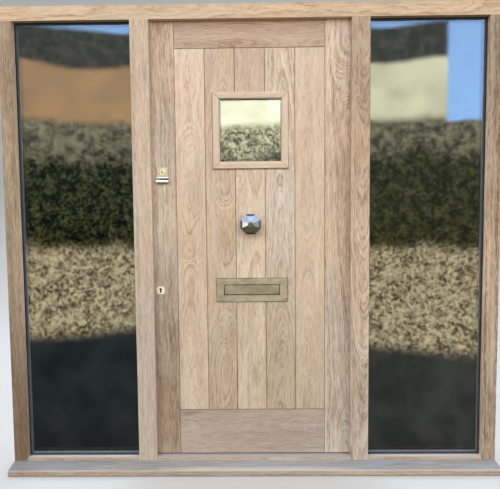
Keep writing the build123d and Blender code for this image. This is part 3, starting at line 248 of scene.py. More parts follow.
def oak(name, axis, pith, taper, seed, light, dark, centre=(0, 0, 0), spacing=0.0034, wave=0.03, bend=1.0, curl=1.0,
        figure=1.0, fine=1.0, rays=0.3, streaks=0.5, cloud=0.5, rough=0.62, tones=(), stains=(), knots=(), lines=(), returns=None,
        joints=0.0, weather=None):
    """One member's oak. axis is the grain's direction. pith is (across,
    through) from the member's centre, in metres. tones: (height, colour)
    pairs that the wood is multiplied by, upwards; they hold the wood's own
    tone together with painted light and shade. stains: (x, z, radius x,
    radius z, tilt, colour, amount), marks of colour, one of them painted light.
    knots: (x, z, radius x, radius z, tilt, push) that turn the years aside.
    lines: (x0, z0, x1, z1, soft, colour, amount), thin upright or level rectangles
    of painted shade in joints, gaps and holes, with a soft edge. returns: a colour
    for the faces at right angles to the front: painted light on them. joints: how
    dark the V joints are, with dirt and painted shade."""
    m, t, bsdf = material(name)
    obj = coords(t)
    rel = t.vmath("SUBTRACT", obj, tuple(centre))
    x, y, z = t.xyz(rel)
    vector = t.vec(z, y, x) if axis == "X" else (t.vec(x, z, y) if axis == "Y" else rel)
    g = t.node("ShaderNodeGroup", node_tree=OAK)
    t.put(g.inputs["Vector"], vector)
    for key, value in (("PithX", pith[0]), ("PithY", pith[1]), ("Taper", taper), ("Spacing", spacing), ("Seed", seed),
                       ("Wave", wave), ("Bend", bend), ("Curl", curl), ("Figure", figure), ("Fine", fine), ("Rays", rays),
                       ("Streaks", streaks), ("Cloud", cloud)):
        g.inputs[key].default_value = value
    g.inputs["Light"].default_value = light
    g.inputs["Dark"].default_value = dark
    colour = g.outputs["Color"]
    ox, oy, oz = t.xyz(obj)
    soft = t.noise(obj, 5.0, 3.0, 0.6)
    if knots:
        extra = None
        for k in knots:
            e = t.math("MULTIPLY", spot(t, ox, oz, None, k[:5]), k[5])
            extra = e if extra is None else t.math("ADD", extra, e)
        t.put(g.inputs["Extra"], extra)
    # the height bands hold the wood's own tone together with painted light and shade
    if tones:
        wobble = t.math("ADD", oz if axis != "X" else ox, t.math("MULTIPLY", t.math("SUBTRACT", soft, 0.5), 0.25))
        band = None
        for (z0, c0), (z1, c1) in zip(tones, tones[1:]):
            band = t.mix(t.ramp(wobble, z0, z1, smooth=False), (*c0, 1) if band is None else band, (*c1, 1))
        colour = t.mix(1.0, colour, band, "MULTIPLY")
    # marks of colour laid on the wood; one of them is painted light
    if stains:
        fray = t.noise(t.vec(t.math("MULTIPLY", ox, 60.0 if axis == "Z" else 14.0), oy, t.math("MULTIPLY", oz, 14.0 if axis == "Z" else 60.0)),
                       1.0, 4.0, 0.65)
        wob = t.math("MULTIPLY", t.math("SUBTRACT", fray, 0.5), 1.1)
        for st in stains:
            f = t.math("MULTIPLY", spot(t, ox, oz, wob, st[:5]), st[6])
            colour = t.mix(f, colour, t.mix(1.0, colour, (*st[5], 1), "MULTIPLY"))
    # painted light: side faces near the front are made paler and greyer, standing in for the light that falls on them
    if returns:
        geo = t.node("ShaderNodeNewGeometry")
        nx, ny, nz = t.xyz(geo.outputs["Normal"])
        turned = t.math("MULTIPLY", t.ramp(t.math("ABSOLUTE", nx), 0.80, 0.98), t.ramp(oy, 0.045, 0.035))
        colour = t.mix(turned, colour, t.mix(1.0, colour, (*returns, 1), "MULTIPLY"))
    # painted shade: dark strips in joints, gaps and holes
    if lines:
        grit = t.noise(obj, 90.0, 3.0, 0.6)
        for x0, z0, x1, z1, soft_edge, tint, amount in lines:
            inx = t.math("MULTIPLY", t.ramp(ox, x0 - soft_edge, x0), t.ramp(ox, x1 + soft_edge, x1))
            inz = t.math("MULTIPLY", t.ramp(oz, z0 - soft_edge, z0), t.ramp(oz, z1 + soft_edge, z1))
            f = t.math("MULTIPLY", t.math("MULTIPLY", inx, inz), t.ramp(grit, 0.3, 0.6, amount * 0.7, amount))
            colour = t.mix(f, colour, t.mix(1.0, colour, (*tint, 1), "MULTIPLY"))
    if joints:
        # dirt and painted shade in the V joints, which lie at even steps across the leaf
        away = t.math("ABSOLUTE", t.math("SUBTRACT", t.math("MODULO", t.math("ADD", ox, 0.3395 + 0.0673), 0.1346), 0.0673))
        thick = t.noise(t.vec(t.math("MULTIPLY", ox, 2.0), 0.0, t.math("MULTIPLY", oz, 9.0)), 1.0, 3.0, 0.6)
        dirt = t.math("MULTIPLY", t.ramp(away, 0.0018, 0.0009), t.ramp(thick, 0.3, 0.6, joints * 0.55, joints))
        colour = t.mix(dirt, colour, t.mix(1.0, colour, (0.20, 0.15, 0.12, 1), "MULTIPLY"))
    # the member's own weathering and dirt, with painted light and shade, laid on last
    if weather:
        colour = weather(t, obj, colour, g.outputs["Height"])
    t.put(bsdf.inputs["Base Color"], colour)
    t.put(bsdf.inputs["Roughness"], t.math("ADD", t.math("MULTIPLY", t.math("SUBTRACT", soft, 0.5), 0.22),
                                           t.math("ADD", t.math("MULTIPLY", g.outputs["Tone"], 0.08), rough), clamp=True))
    bsdf.inputs["Specular IOR Level"].default_value = 0.3
    bump = t.node("ShaderNodeBump")
    bump.inputs["Strength"].default_value = 0.6
    bump.inputs["Distance"].default_value = 0.0003
    t.put(bump.inputs["Height"], g.outputs["Height"])
    t.put(bsdf.inputs["Normal"], bump.outputs[0])
    return m


def paint(node, mat):
    o = nodes[node]
    o.data.materials.clear()
    o.data.materials.append(mat)


def centre_of(node):
    lo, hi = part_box(node)
    return (lo + hi) / 2


# ------------------------------------------------------------------- oak members
def member(node, axis, pith, taper, seed, light, dark, **kw):
    c = centre_of(node)
    paint(node, oak("oak_" + node, axis, pith, taper, seed, light, dark, centre=tuple(c), **kw))


# painted shade: thin dark lines where the small window's surround meets the boards
SURROUND = [(-0.1722, 1.385, -0.1697, 1.725, 0.0022, (0.35, 0.29, 0.24), 0.85),
            (-0.1715, 1.3795, 0.1705, 1.3850, 0.0035, (0.35, 0.29, 0.24), 0.75),
            (0.1687, 1.385, 0.1703, 1.725, 0.0015, (0.45, 0.39, 0.34), 0.6),
            (-0.171, 1.7250, 0.170, 1.7262, 0.0015, (0.45, 0.39, 0.34), 0.6)]
PALE, DIM, DARKER = (1.14, 1.14, 1.15), (0.86, 0.84, 0.82), (0.66, 0.60, 0.55)
GREYISH, ROSY = (0.90, 0.91, 0.97), (1.0, 0.93, 0.89)

rail_lo, rail_hi = float(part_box("top_rail")[0][2]), float(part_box("bottom_rail")[1][2])
# painted shade: thin dark lines where the boards meet the rails
RAIL_BOTTOM = [(-0.3395, rail_lo, 0.3395, rail_lo + 0.0012, 0.0014, (0.42, 0.36, 0.31), 0.75)]
RAIL_TOP = [(-0.3395, rail_hi - 0.0012, 0.3395, rail_hi, 0.0014, (0.42, 0.36, 0.31), 0.75)]
# painted shade: dark strips in the gaps at the leaf's edges, and a dark patch in the keyhole
LOCK_EDGE = [(-0.4580, 0.9, -0.4562, 2.1, 0.0016, (0.62, 0.58, 0.55), 0.6),
             (-0.4300, 0.815, -0.4070, 0.850, 0.001, (0.12, 0.10, 0.08), 1.0)]
HINGE_EDGE = [(0.4558, 0.0, 0.4580, 2.1, 0.0018, (0.55, 0.50, 0.46), 0.8)]

# frame
member("frame_head", "X", (0.02, 0.16), 0.006, 1.3, rgb(233, 207, 176), rgb(197, 165, 130), figure=1.1, streaks=0.85, bend=0.6,
       spacing=0.0036, wave=0.02, stains=[(-0.35, 2.07, 0.05, 0.010, 3, ROSY, 0.7), (0.75, 2.085, 0.30, 0.010, -2, DIM, 0.5)])
member("outer_jamb_left", "Z", (0.16, 0.05), 0.004, 2.1, rgb(196, 172, 146), rgb(138, 114, 90), figure=0.7, streaks=1.0, fine=1.2,
       returns=(1.45, 1.50, 1.58), wave=0.01, tones=[(0.25, (0.53, 0.50, 0.46)), (0.9, (1.05, 1.10, 1.09)), (1.8, (0.90, 0.94, 0.95))],
       stains=[(-1.085, 1.75, 0.012, 0.22, 0, DARKER, 0.35), (-1.06, 0.95, 0.010, 0.35, 0, PALE, 0.5), (-1.09, 0.50, 0.015, 0.2, 0, DIM, 0.8)])
member("outer_jamb_right", "Z", (-0.12, 0.05), 0.010, 3.7, rgb(204, 178, 152), rgb(128, 100, 76), figure=1.1, streaks=1.3, fine=1.3,
       returns=(1.35, 1.38, 1.42), wave=0.02, tones=[(0.25, (0.94, 1.00, 1.01)), (1.0, (1.19, 1.20, 1.19)), (1.8, (0.87, 0.91, 0.93))],
       stains=[(1.075, 1.88, 0.02, 0.10, 5, DARKER, 0.5), (1.07, 1.50, 0.008, 0.25, -2, PALE, 0.7), (1.09, 1.15, 0.006, 0.30, 3, DARKER, 0.6),
               (1.075, 0.36, 0.02, 0.09, 0, DARKER, 0.5)])
member("lock_mullion", "Z", (-0.15, 0.03), 0.003, 4.2, rgb(220, 198, 176), rgb(180, 156, 132), figure=0.8, streaks=0.85, fine=1.15, bend=1.2,
       wave=0.01, tones=[(0.3, (0.97, 1.00, 1.02)), (1.1, (1.12, 1.17, 1.22)), (1.8, (1.11, 1.11, 1.09))],
       stains=[(-0.466, 1.79, 0.022, 0.10, 0, (0.80, 0.82, 0.88), 0.9), (-0.462, 1.86, 0.02, 0.05, 10, ROSY, 0.8),
               (-0.461, 1.17, 0.0035, 0.045, 0, (0.62, 0.60, 0.62), 0.9), (-0.50, 0.55, 0.02, 0.2, 0, GREYISH, 0.6)])
member("hinge_mullion", "Z", (0.016, 0.062), -0.048, 5.9, rgb(214, 190, 166), rgb(158, 130, 106), figure=1.15, streaks=0.6, fine=1.1, bend=1.5,
       wave=0.012, tones=[(0.3, (1.07, 1.16, 1.23)), (1.1, (1.20, 1.20, 1.13)), (1.8, (0.95, 0.93, 0.88))],
       knots=[(0.478, 1.72, 0.034, 0.060, 10, 0.010)],
       stains=[(0.487, 2.00, 0.020, 0.050, 0, (0.74, 0.68, 0.66), 0.8), (0.485, 1.86, 0.015, 0.09, 4, (0.80, 0.76, 0.74), 0.7),
               (0.505, 1.70, 0.022, 0.05, 20, (0.80, 0.78, 0.78), 0.8), (0.466, 0.95, 0.006, 0.35, 1, DARKER, 0.4),
               (0.50, 0.62, 0.006, 0.14, 3, DARKER, 0.5), (0.49, 0.38, 0.018, 0.05, 15, DARKER, 0.4)])

# leaf
member("lock_stile", "Z", (-0.11, 0.06), 0.008, 6.4, rgb(212, 190, 168), rgb(158, 134, 112), lines=LOCK_EDGE, joints=0.4, figure=0.8, streaks=0.7, fine=1.1, cloud=0.9,
       wave=0.04, tones=[(0.25, (0.78, 0.76, 0.72)), (0.65, (0.86, 0.87, 0.84)), (1.1, (1.15, 1.26, 1.31)), (1.8, (1.21, 1.22, 1.22))],
       knots=[(-0.37, 0.27, 0.06, 0.10, 0, 0.020), (-0.39, 1.98, 0.04, 0.10, 20, 0.014)],
       # the second mark here, the pale streak under the finger pull, is painted light reflected from the pull's lip
       stains=[(-0.405, 2.00, 0.030, 0.05, 30, DARKER, 0.55), (-0.3935, 1.300, 0.005, 0.022, 0, (1.30, 1.29, 1.26), 1.0),
               (-0.395, 0.97, 0.018, 0.12, 0, (1.17, 1.17, 1.14), 0.9), (-0.36, 0.95, 0.02, 0.18, 0, GREYISH, 0.7),
               (-0.377, 0.60, 0.009, 0.09, 4, (0.58, 0.52, 0.46), 0.75), (-0.382, 0.66, 0.006, 0.04, -6, (0.66, 0.6, 0.55), 0.6),
               (-0.41, 0.38, 0.04, 0.10, 0, (0.86, 0.80, 0.77), 0.7), (-0.36, 0.14, 0.02, 0.08, 0, DARKER, 0.45)])
member("hinge_stile", "Z", (0.062, 0.050), -0.030, 7.7, rgb(214, 190, 165), rgb(160, 132, 108), lines=HINGE_EDGE, joints=0.5, figure=1.1, streaks=0.6, fine=1.1, cloud=0.8,
       wave=0.015, bend=1.2, tones=[(0.25, (1.13, 1.31, 1.49)), (0.7, (1.15, 1.29, 1.42)), (1.2, (1.14, 1.15, 1.10)), (1.9, (1.36, 1.44, 1.56))],
       knots=[(0.455, 1.76, 0.115, 0.21, 0, 0.042), (0.46, 0.26, 0.10, 0.26, 25, 0.022)],
       stains=[(0.370, 1.92, 0.035, 0.12, 0, (1.13, 1.12, 1.12), 0.9), (0.443, 1.69, 0.013, 0.045, -15, (0.62, 0.56, 0.52), 0.85),
               (0.425, 1.60, 0.03, 0.07, 20, (0.84, 0.80, 0.78), 0.7), (0.44, 1.25, 0.018, 0.45, 0, (0.80, 0.75, 0.71), 0.6),
               (0.345, 0.62, 0.012, 0.16, 0, PALE, 0.9), (0.372, 0.42, 0.010, 0.14, 14, (1.14, 1.13, 1.12), 0.9),
               (0.40, 0.24, 0.05, 0.13, 20, (0.86, 0.82, 0.80), 0.8), (0.36, 0.80, 0.03, 0.2, 0, GREYISH, 0.7)])
member("top_rail", "X", (-0.05, 0.10), 0.006, 8.2, rgb(217, 192, 167), rgb(175, 148, 122), figure=0.9, streaks=0.5, bend=0.9, wave=0.03,
       lines=RAIL_BOTTOM, knots=[(0.175, 1.934, 0.055, 0.018, 0, 0.012), (0.215, 1.937, 0.030, 0.012, 0, -0.006)],
       stains=[(0.13, 1.932, 0.030, 0.010, 20, DARKER, 0.5), (0.19, 1.936, 0.022, 0.006, 0, PALE, 0.9), (-0.18, 1.975, 0.20, 0.012, 0, DIM, 0.4),
               (0.03, 1.945, 0.10, 0.006, 4, PALE, 0.5)])
member("bottom_rail", "X", (0.02, 0.20), 0.004, 9.6, rgb(202, 185, 170), rgb(169, 150, 134), figure=0.95, streaks=0.6, fine=0.75, bend=0.7,
       cloud=1.1, wave=0.01, knots=[(-0.30, 0.262, 0.08, 0.03, 0, 0.018)],
       lines=RAIL_TOP, stains=[(-0.29, 0.252, 0.075, 0.018, 6, (0.72, 0.67, 0.64), 1.0), (-0.31, 0.222, 0.035, 0.007, 0, DARKER, 0.6),
               (-0.10, 0.262, 0.10, 0.006, 2, DIM, 0.7), (0.10, 0.215, 0.10, 0.010, -4, (1.06, 1.04, 1.02), 0.7),
               (0.245, 0.17, 0.009, 0.08, 0, PALE, 0.75), (0.285, 0.16, 0.012, 0.09, 0, (1.10, 1.10, 1.13), 0.7), (0.0, 0.14, 0.35, 0.05, 0, (0.94, 0.93, 0.92), 0.5)])
member("upper_ledge", "X", (0.03, -0.10), 0.012, 10.4, rgb(210, 184, 156), rgb(160, 130, 104), figure=0.8)
member("lower_ledge", "X", (-0.02, -0.11), 0.010, 11.1, rgb(208, 182, 154), rgb(158, 128, 102), figure=0.8)
member("board_1", "Z", (-0.005, 0.12), 0.012, 12.5, rgb(230, 206, 182), rgb(190, 163, 138), joints=0.6, figure=0.85, streaks=0.35, fine=0.8, wave=0.06,
       tones=[(0.3, (1.03, 1.09, 1.13)), (1.1, (1.09, 1.08, 1.02)), (1.8, (1.23, 1.28, 1.33))],
       knots=[(-0.282, 1.80, 0.030, 0.13, 0, 0.020), (-0.286, 1.02, 0.045, 0.075, 0, 0.024), (-0.28, 1.26, 0.03, 0.14, 0, 0.012)],
       stains=[(-0.287, 1.80, 0.009, 0.075, 0, (0.84, 0.80, 0.77), 0.8), (-0.2805, 1.0145, 0.0035, 0.009, 0, (0.42, 0.38, 0.36), 1.0),
               (-0.2895, 1.022, 0.0028, 0.006, 0, (0.5, 0.46, 0.44), 0.9), (-0.25, 1.02, 0.006, 0.25, 0, PALE, 0.5)])
member("board_2", "Z", (0.008, 0.10), 0.020, 13.8, rgb(216, 191, 167), rgb(174, 147, 122), lines=SURROUND, joints=0.85, figure=0.95, streaks=0.5, wave=0.09,
       tones=[(0.3, (0.97, 1.00, 0.99)), (1.1, (1.16, 1.20, 1.16)), (1.8, (1.16, 1.18, 1.20))],
       knots=[(-0.113, 0.515, 0.022, 0.06, 0, 0.012), (-0.12, 0.64, 0.035, 0.10, 0, 0.016)],
       stains=[(-0.083, 1.83, 0.006, 0.10, 2, PALE, 0.9), (-0.09, 0.60, 0.018, 0.12, 0, DIM, 0.6)])
member("board_3_upper", "Z", (0.01, 0.16), 0.006, 14.9, rgb(227, 205, 184), rgb(189, 164, 140), lines=SURROUND, joints=0.8, figure=0.5, streaks=0.45, wave=0.01)
member("board_3_middle", "Z", (0.02, 0.12), 0.010, 15.9, rgb(245, 225, 197), rgb(202, 175, 147), lines=SURROUND, joints=0.8, figure=0.7, streaks=0.45, wave=0.04,
       knots=[(-0.045, 1.33, 0.035, 0.09, 0, 0.016)],
       stains=[(-0.040, 1.30, 0.006, 0.05, -20, (0.80, 0.75, 0.70), 0.8), (0.045, 0.98, 0.006, 0.16, 0, PALE, 0.8), (0.02, 0.95, 0.003, 0.12, 0, DIM, 0.7)])
member("board_3_lower", "Z", (0.02, 0.12), 0.010, 16.9, rgb(232, 214, 188), rgb(191, 170, 142), joints=0.8, figure=0.7, streaks=0.5, wave=0.04, bend=1.4,
       knots=[(-0.02, 0.60, 0.03, 0.08, 0, 0.010)],
       stains=[(0.021, 0.55, 0.004, 0.10, 3, (0.78, 0.73, 0.67), 0.8), (0.048, 0.60, 0.011, 0.28, 0, PALE, 0.8)])
member("board_4", "Z", (0.000, 0.055), 0.055, 17.3, rgb(216, 196, 174), rgb(166, 141, 117), lines=SURROUND, joints=0.62, figure=1.05, streaks=0.40, wave=0.020,
       tones=[(0.3, (0.96, 0.97, 0.94)), (0.75, (1.10, 1.12, 1.09)), (0.95, (1.23, 1.29, 1.35)), (1.35, (1.27, 1.35, 1.40)), (1.7, (1.31, 1.35, 1.34))],
       stains=[(0.083, 1.79, 0.006, 0.09, -9, (1.15, 1.15, 1.15), 0.9), (0.185, 1.78, 0.008, 0.14, 3, PALE, 0.7), (0.13, 1.86, 0.03, 0.04, 0, DIM, 0.4),
               (0.165, 1.15, 0.014, 0.15, 0, (1.10, 1.12, 1.15), 0.8), (0.12, 1.05, 0.02, 0.10, 10, (1.08, 1.09, 1.12), 0.7),
               (0.09, 1.30, 0.012, 0.20, 0, (0.90, 0.92, 0.98), 0.7), (0.13, 0.50, 0.045, 0.10, 0, DIM, 0.6), (0.13, 0.72, 0.03, 0.05, 0, (1.04, 0.97, 0.93), 0.8)])
member("board_5", "Z", (-0.012, 0.10), 0.016, 18.6, rgb(222, 198, 174), rgb(186, 159, 134), joints=0.38, figure=0.7, streaks=0.45, fine=0.8, wave=0.05,
       tones=[(0.3, (0.96, 1.03, 1.04)), (1.1, (1.19, 1.21, 1.16)), (1.8, (1.16, 1.21, 1.25))],
       knots=[(0.262, 1.65, 0.03, 0.10, 0, 0.010), (0.25, 0.50, 0.03, 0.12, 0, 0.014)],
       stains=[(0.248, 0.52, 0.004, 0.07, -6, (0.82, 0.74, 0.68), 0.8), (0.30, 0.9, 0.008, 0.3, 0, PALE, 0.5)])


def mitred(t, obj, colour, height):
    """Dirt in the four mitres of the surround, and painted shade along its inner arris."""
    x, y, z = t.xyz(obj)
    dx = t.math("ABSOLUTE", t.math("ADD", x, 0.0005))
    dz = t.math("ABSOLUTE", t.math("SUBTRACT", z, 1.555))
    off = t.math("ABSOLUTE", t.math("SUBTRACT", t.math("SUBTRACT", dz, dx), 0.00075))
    thick = t.noise(obj, 60.0, 3.0, 0.6)
    f = t.math("MULTIPLY", t.ramp(off, 0.0022, 0.0006), t.ramp(thick, 0.3, 0.6, 0.25, 0.6))
    colour = t.mix(f, colour, t.mix(1.0, colour, (0.42, 0.33, 0.27, 1), "MULTIPLY"))
    # and painted shade along the inner arris, against the glass
    inner = t.math("MAXIMUM", t.math("SUBTRACT", dx, 0.138), t.math("SUBTRACT", dz, 0.1385))
    f = t.math("MULTIPLY", t.ramp(inner, 0.0035, 0.0), t.ramp(thick, 0.3, 0.6, 0.08, 0.22))
    return t.mix(f, colour, t.mix(1.0, colour, (0.60, 0.50, 0.42, 1), "MULTIPLY"))


for k, (side, axis, pith) in enumerate((("top", "X", (0.04, 0.05)), ("bottom", "X", (-0.05, 0.05)),
                                        ("left", "Z", (0.05, 0.06)), ("right", "Z", (-0.05, 0.07)))):
    member("vision_frame_" + side, axis, pith, 0.006, 20.0 + k * 1.7, rgb(244, 224, 198), rgb(209, 181, 153), figure=0.45,
           streaks=0.5, fine=0.8, spacing=0.0026, weather=mitred)


def weathered(t, obj, colour, height):
    """Silver-grey where rain lies on the slope, tan on the front edge, with a painted highlight on the front arris."""
    x, y, z = t.xyz(obj)
    geo = t.node("ShaderNodeNewGeometry")
    nx, ny, nz = t.xyz(geo.outputs["Normal"])
    top = t.ramp(nz, 0.5, 0.9)
    slope = t.math("MULTIPLY", top, t.ramp(y, 0.004, -0.001))
    step = t.math("MULTIPLY", top, t.ramp(y, -0.001, 0.004))
    streak = t.noise(t.vec(t.math("MULTIPLY", x, 7.0), t.math("MULTIPLY", y, 190.0), z), 1.0, 4.0, 0.62)
    fine = t.noise(t.vec(t.math("MULTIPLY", x, 30.0), t.math("MULTIPLY", y, 700.0), t.math("MULTIPLY", z, 300.0)), 1.0, 3.0, 0.6)
    cloud = t.noise(t.vec(t.math("MULTIPLY", x, 2.6), t.math("MULTIPLY", y, 12.0), z), 1.0, 4.0, 0.6)
    silver = t.mix(t.ramp(streak, 0.30, 0.70), rgb(130, 128, 129), rgb(171, 169, 169))
    silver = t.mix(t.ramp(fine, 0.3, 0.7, 0.0, 0.40), silver, rgb(112, 105, 100))
    silver = t.mix(t.ramp(cloud, 0.46, 0.66, 0.0, 0.75), silver, rgb(152, 157, 165))
    silver = t.mix(t.ramp(cloud, 0.48, 0.30, 0.0, 0.65), silver, rgb(152, 143, 136))
    out = t.mix(t.math("MULTIPLY", slope, 0.95), colour, silver)
    out = t.mix(t.math("MULTIPLY", step, 0.80), out, t.mix(t.ramp(streak, 0.3, 0.7), rgb(170, 166, 166), rgb(198, 193, 191)))
    # paler in the middle, where feet rub, and a darker patch with a slanted edge at the left
    middle = t.ramp(t.math("ABSOLUTE", t.math("ADD", x, t.math("MULTIPLY", t.math("SUBTRACT", cloud, 0.5), 0.5))), 0.62, 0.22)
    out = t.mix(t.math("MULTIPLY", t.math("MULTIPLY", middle, slope), 0.34), out, t.mix(t.ramp(streak, 0.3, 0.7), rgb(168, 163, 160), rgb(204, 199, 194)))
    rub = t.math("MULTIPLY", middle, t.ramp(y, -0.038, -0.058))
    out = t.mix(t.math("MULTIPLY", t.math("MULTIPLY", rub, slope), 0.75), out, rgb(206, 200, 192))
    dull = t.ramp(t.math("ADD", x, t.math("MULTIPLY", y, -2.4)), -0.60, -0.66)
    out = t.mix(t.math("MULTIPLY", t.math("MULTIPLY", dull, slope), 0.30), out, rgb(118, 116, 118))
    # dark curl of grain on the slope, right of the middle
    curl = spot(t, x, y, t.math("MULTIPLY", t.math("SUBTRACT", streak, 0.5), 1.2), (0.66, -0.030, 0.085, 0.012, 4))
    out = t.mix(t.math("MULTIPLY", t.math("MULTIPLY", curl, slope), 0.45), out, rgb(120, 114, 112))
    # painted highlight: a pale line along the arris where slope and nosing meet
    worn = t.math("MULTIPLY", t.ramp(y, -0.0625, -0.0672), t.ramp(z, 0.0215, 0.0245))
    out = t.mix(t.math("MULTIPLY", worn, t.ramp(cloud, 0.35, 0.6, 0.15, 0.62)), out, rgb(206, 198, 188))
    # darker and browner along the lower edge of the nosing
    damp = t.math("MULTIPLY", t.ramp(z, 0.010, 0.001), t.ramp(cloud, 0.35, 0.65, 0.25, 0.9))
    return t.mix(t.math("MULTIPLY", damp, 0.55), out, rgb(128, 106, 80))


member("sill", "X", (0.10, 0.02), 0.006, 25.0, rgb(206, 189, 170), rgb(164, 142, 120), figure=0.8, streaks=0.9, fine=1.1, weather=weathered)
member("glazing_beads", "Z", (0.2, -0.1), 0.006, 26.0, rgb(214, 188, 160), rgb(166, 136, 110), figure=0.6)
member("vision_beads", "Z", (0.1, -0.08), 0.006, 28.0, rgb(214, 188, 160), rgb(166, 136, 110), figure=0.6)


# ------------------------------------------------------------------------- glass
def glass(name, tint, haze, seed):
    """Float glass with a film of dust and faint run marks."""
    m, t, bsdf = material(name)
    obj = coords(t)
    x, y, z = t.xyz(obj)
    p = t.vmath("ADD", obj, (seed, 0.0, seed * 0.7))
    runs = t.noise(t.vec(t.math("MULTIPLY", x, 55.0), t.math("MULTIPLY", y, 55.0), t.math("MULTIPLY", z, 1.6)), 1.0, 3.0, 0.6)
    cloud = t.noise(p, 3.2, 3.0, 0.55)
    dust = t.math("MULTIPLY", t.ramp(t.math("ADD", t.math("MULTIPLY", runs, 0.5), t.math("MULTIPLY", cloud, 0.6)), 0.5, 0.85), haze)
    colour = t.mix(dust, tint, rgb(120, 122, 116))
    t.put(bsdf.inputs["Base Color"], colour)
    t.put(bsdf.inputs["Roughness"], t.math("ADD", t.math("MULTIPLY", dust, 0.25), 0.015))
    bsdf.inputs["IOR"].default_value = 1.52
    bsdf.inputs["Transmission Weight"].default_value = 1.0
    return m


# the inner panes are tinted almost black: painted shade for the dark room behind them
for side, seed in (("left", 1.0), ("right", 4.0)):
    paint(side + "_outer_pane", glass("glass_outer_" + side, (0.90, 0.95, 0.94, 1), 0.012, seed))
    paint(side + "_inner_pane", glass("glass_inner_" + side, (0.012, 0.017, 0.019, 1), 0.010, seed + 2))
paint("vision_outer_pane", glass("glass_vision_outer", (0.90, 0.95, 0.94, 1), 0.012, 7.0))
paint("vision_inner_pane", glass("glass_vision_inner", (0.012, 0.017, 0.019, 1), 0.010, 8.0))
# light passes the panes on its way to the bars and beads behind them
for name in ("left_outer_pane", "left_inner_pane", "right_outer_pane", "right_inner_pane", "vision_outer_pane", "vision_inner_pane"):
    nodes[name].visible_shadow = False
    nodes[name].visible_diffuse = False


# ------------------------------------------------------------ metals and rubbers
def metal(name, base, dark, rough, metallic=1.0, brushed=None, scale=60.0, bump=0.15, spots=0.0, aniso=0.0):
    m, t, bsdf = material(name)
    obj = coords(t)
    x, y, z = t.xyz(obj)
    fine = t.noise(obj, scale, 4.0, 0.6)
    if brushed:
        stretch = {"X": (0.06, 1, 1), "Y": (1, 0.06, 1), "Z": (1, 1, 0.06)}[brushed]
        lines = t.noise(t.vmath("MULTIPLY", obj, stretch), scale * 14, 3.0, 0.7)
    else:
        lines = t.noise(obj, scale * 8, 3.0, 0.6)
    blotch = t.noise(obj, scale * 0.35, 3.0, 0.55)
    fac = t.math("ADD", t.math("MULTIPLY", t.ramp(blotch, 0.3, 0.7), 0.55), t.math("MULTIPLY", t.ramp(lines, 0.3, 0.7), 0.45))
    colour = t.mix(fac, dark, base)
    if spots:
        s = t.ramp(t.noise(obj, scale * 5, 2.0, 0.5), 0.66, 0.74)
        colour = t.mix(t.math("MULTIPLY", s, spots), colour, t.mix(1.0, dark, (0.45, 0.42, 0.38, 1), "MULTIPLY"))
    t.put(bsdf.inputs["Base Color"], colour)
    bsdf.inputs["Metallic"].default_value = metallic
    t.put(bsdf.inputs["Roughness"], t.math("ADD", rough - 0.08, t.math("MULTIPLY", t.ramp(fine, 0.25, 0.75), 0.16), clamp=True))
    b = t.node("ShaderNodeBump")
    b.inputs["Strength"].default_value = bump
    b.inputs["Distance"].default_value = 0.0002
    t.put(b.inputs["Height"], lines)
    t.put(bsdf.inputs["Normal"], b.outputs[0])
    return m


def rubber(name, base, light, rough=0.7, scale=300.0):
    m, t, bsdf = material(name)
    obj = coords(t)
    n = t.noise(obj, scale, 3.0, 0.6)
    dust = t.ramp(t.noise(obj, 14.0, 4.0, 0.6), 0.45, 0.8)
    t.put(bsdf.inputs["Base Color"], t.mix(t.math("MULTIPLY", dust, 0.35), t.mix(n, base, light), rgb(92, 86, 78)))
    t.put(bsdf.inputs["Roughness"], t.math("ADD", rough - 0.1, t.math("MULTIPLY", n, 0.25)))
    b = t.node("ShaderNodeBump")
    b.inputs["Strength"].default_value = 0.3
    b.inputs["Distance"].default_value = 0.0003
    t.put(b.inputs["Height"], n)
    t.put(bsdf.inputs["Normal"], b.outputs[0])
    return m


paint("glazing_gaskets", rubber("gasket", rgb(24, 24, 24), rgb(44, 44, 44)))
paint("door_weatherseal", rubber("seal", rgb(44, 36, 30), rgb(64, 54, 46)))
paint("bottom_seal", rubber("seal_bottom", rgb(44, 36, 30), rgb(64, 54, 46)))
spacer = metal("spacer", rgb(104, 112, 120), rgb(84, 92, 100), 0.5, metallic=0.1, brushed="Z", bump=0.1)
paint("sidelight_spacer_bars", spacer)
paint("vision_spacer_bar", spacer)


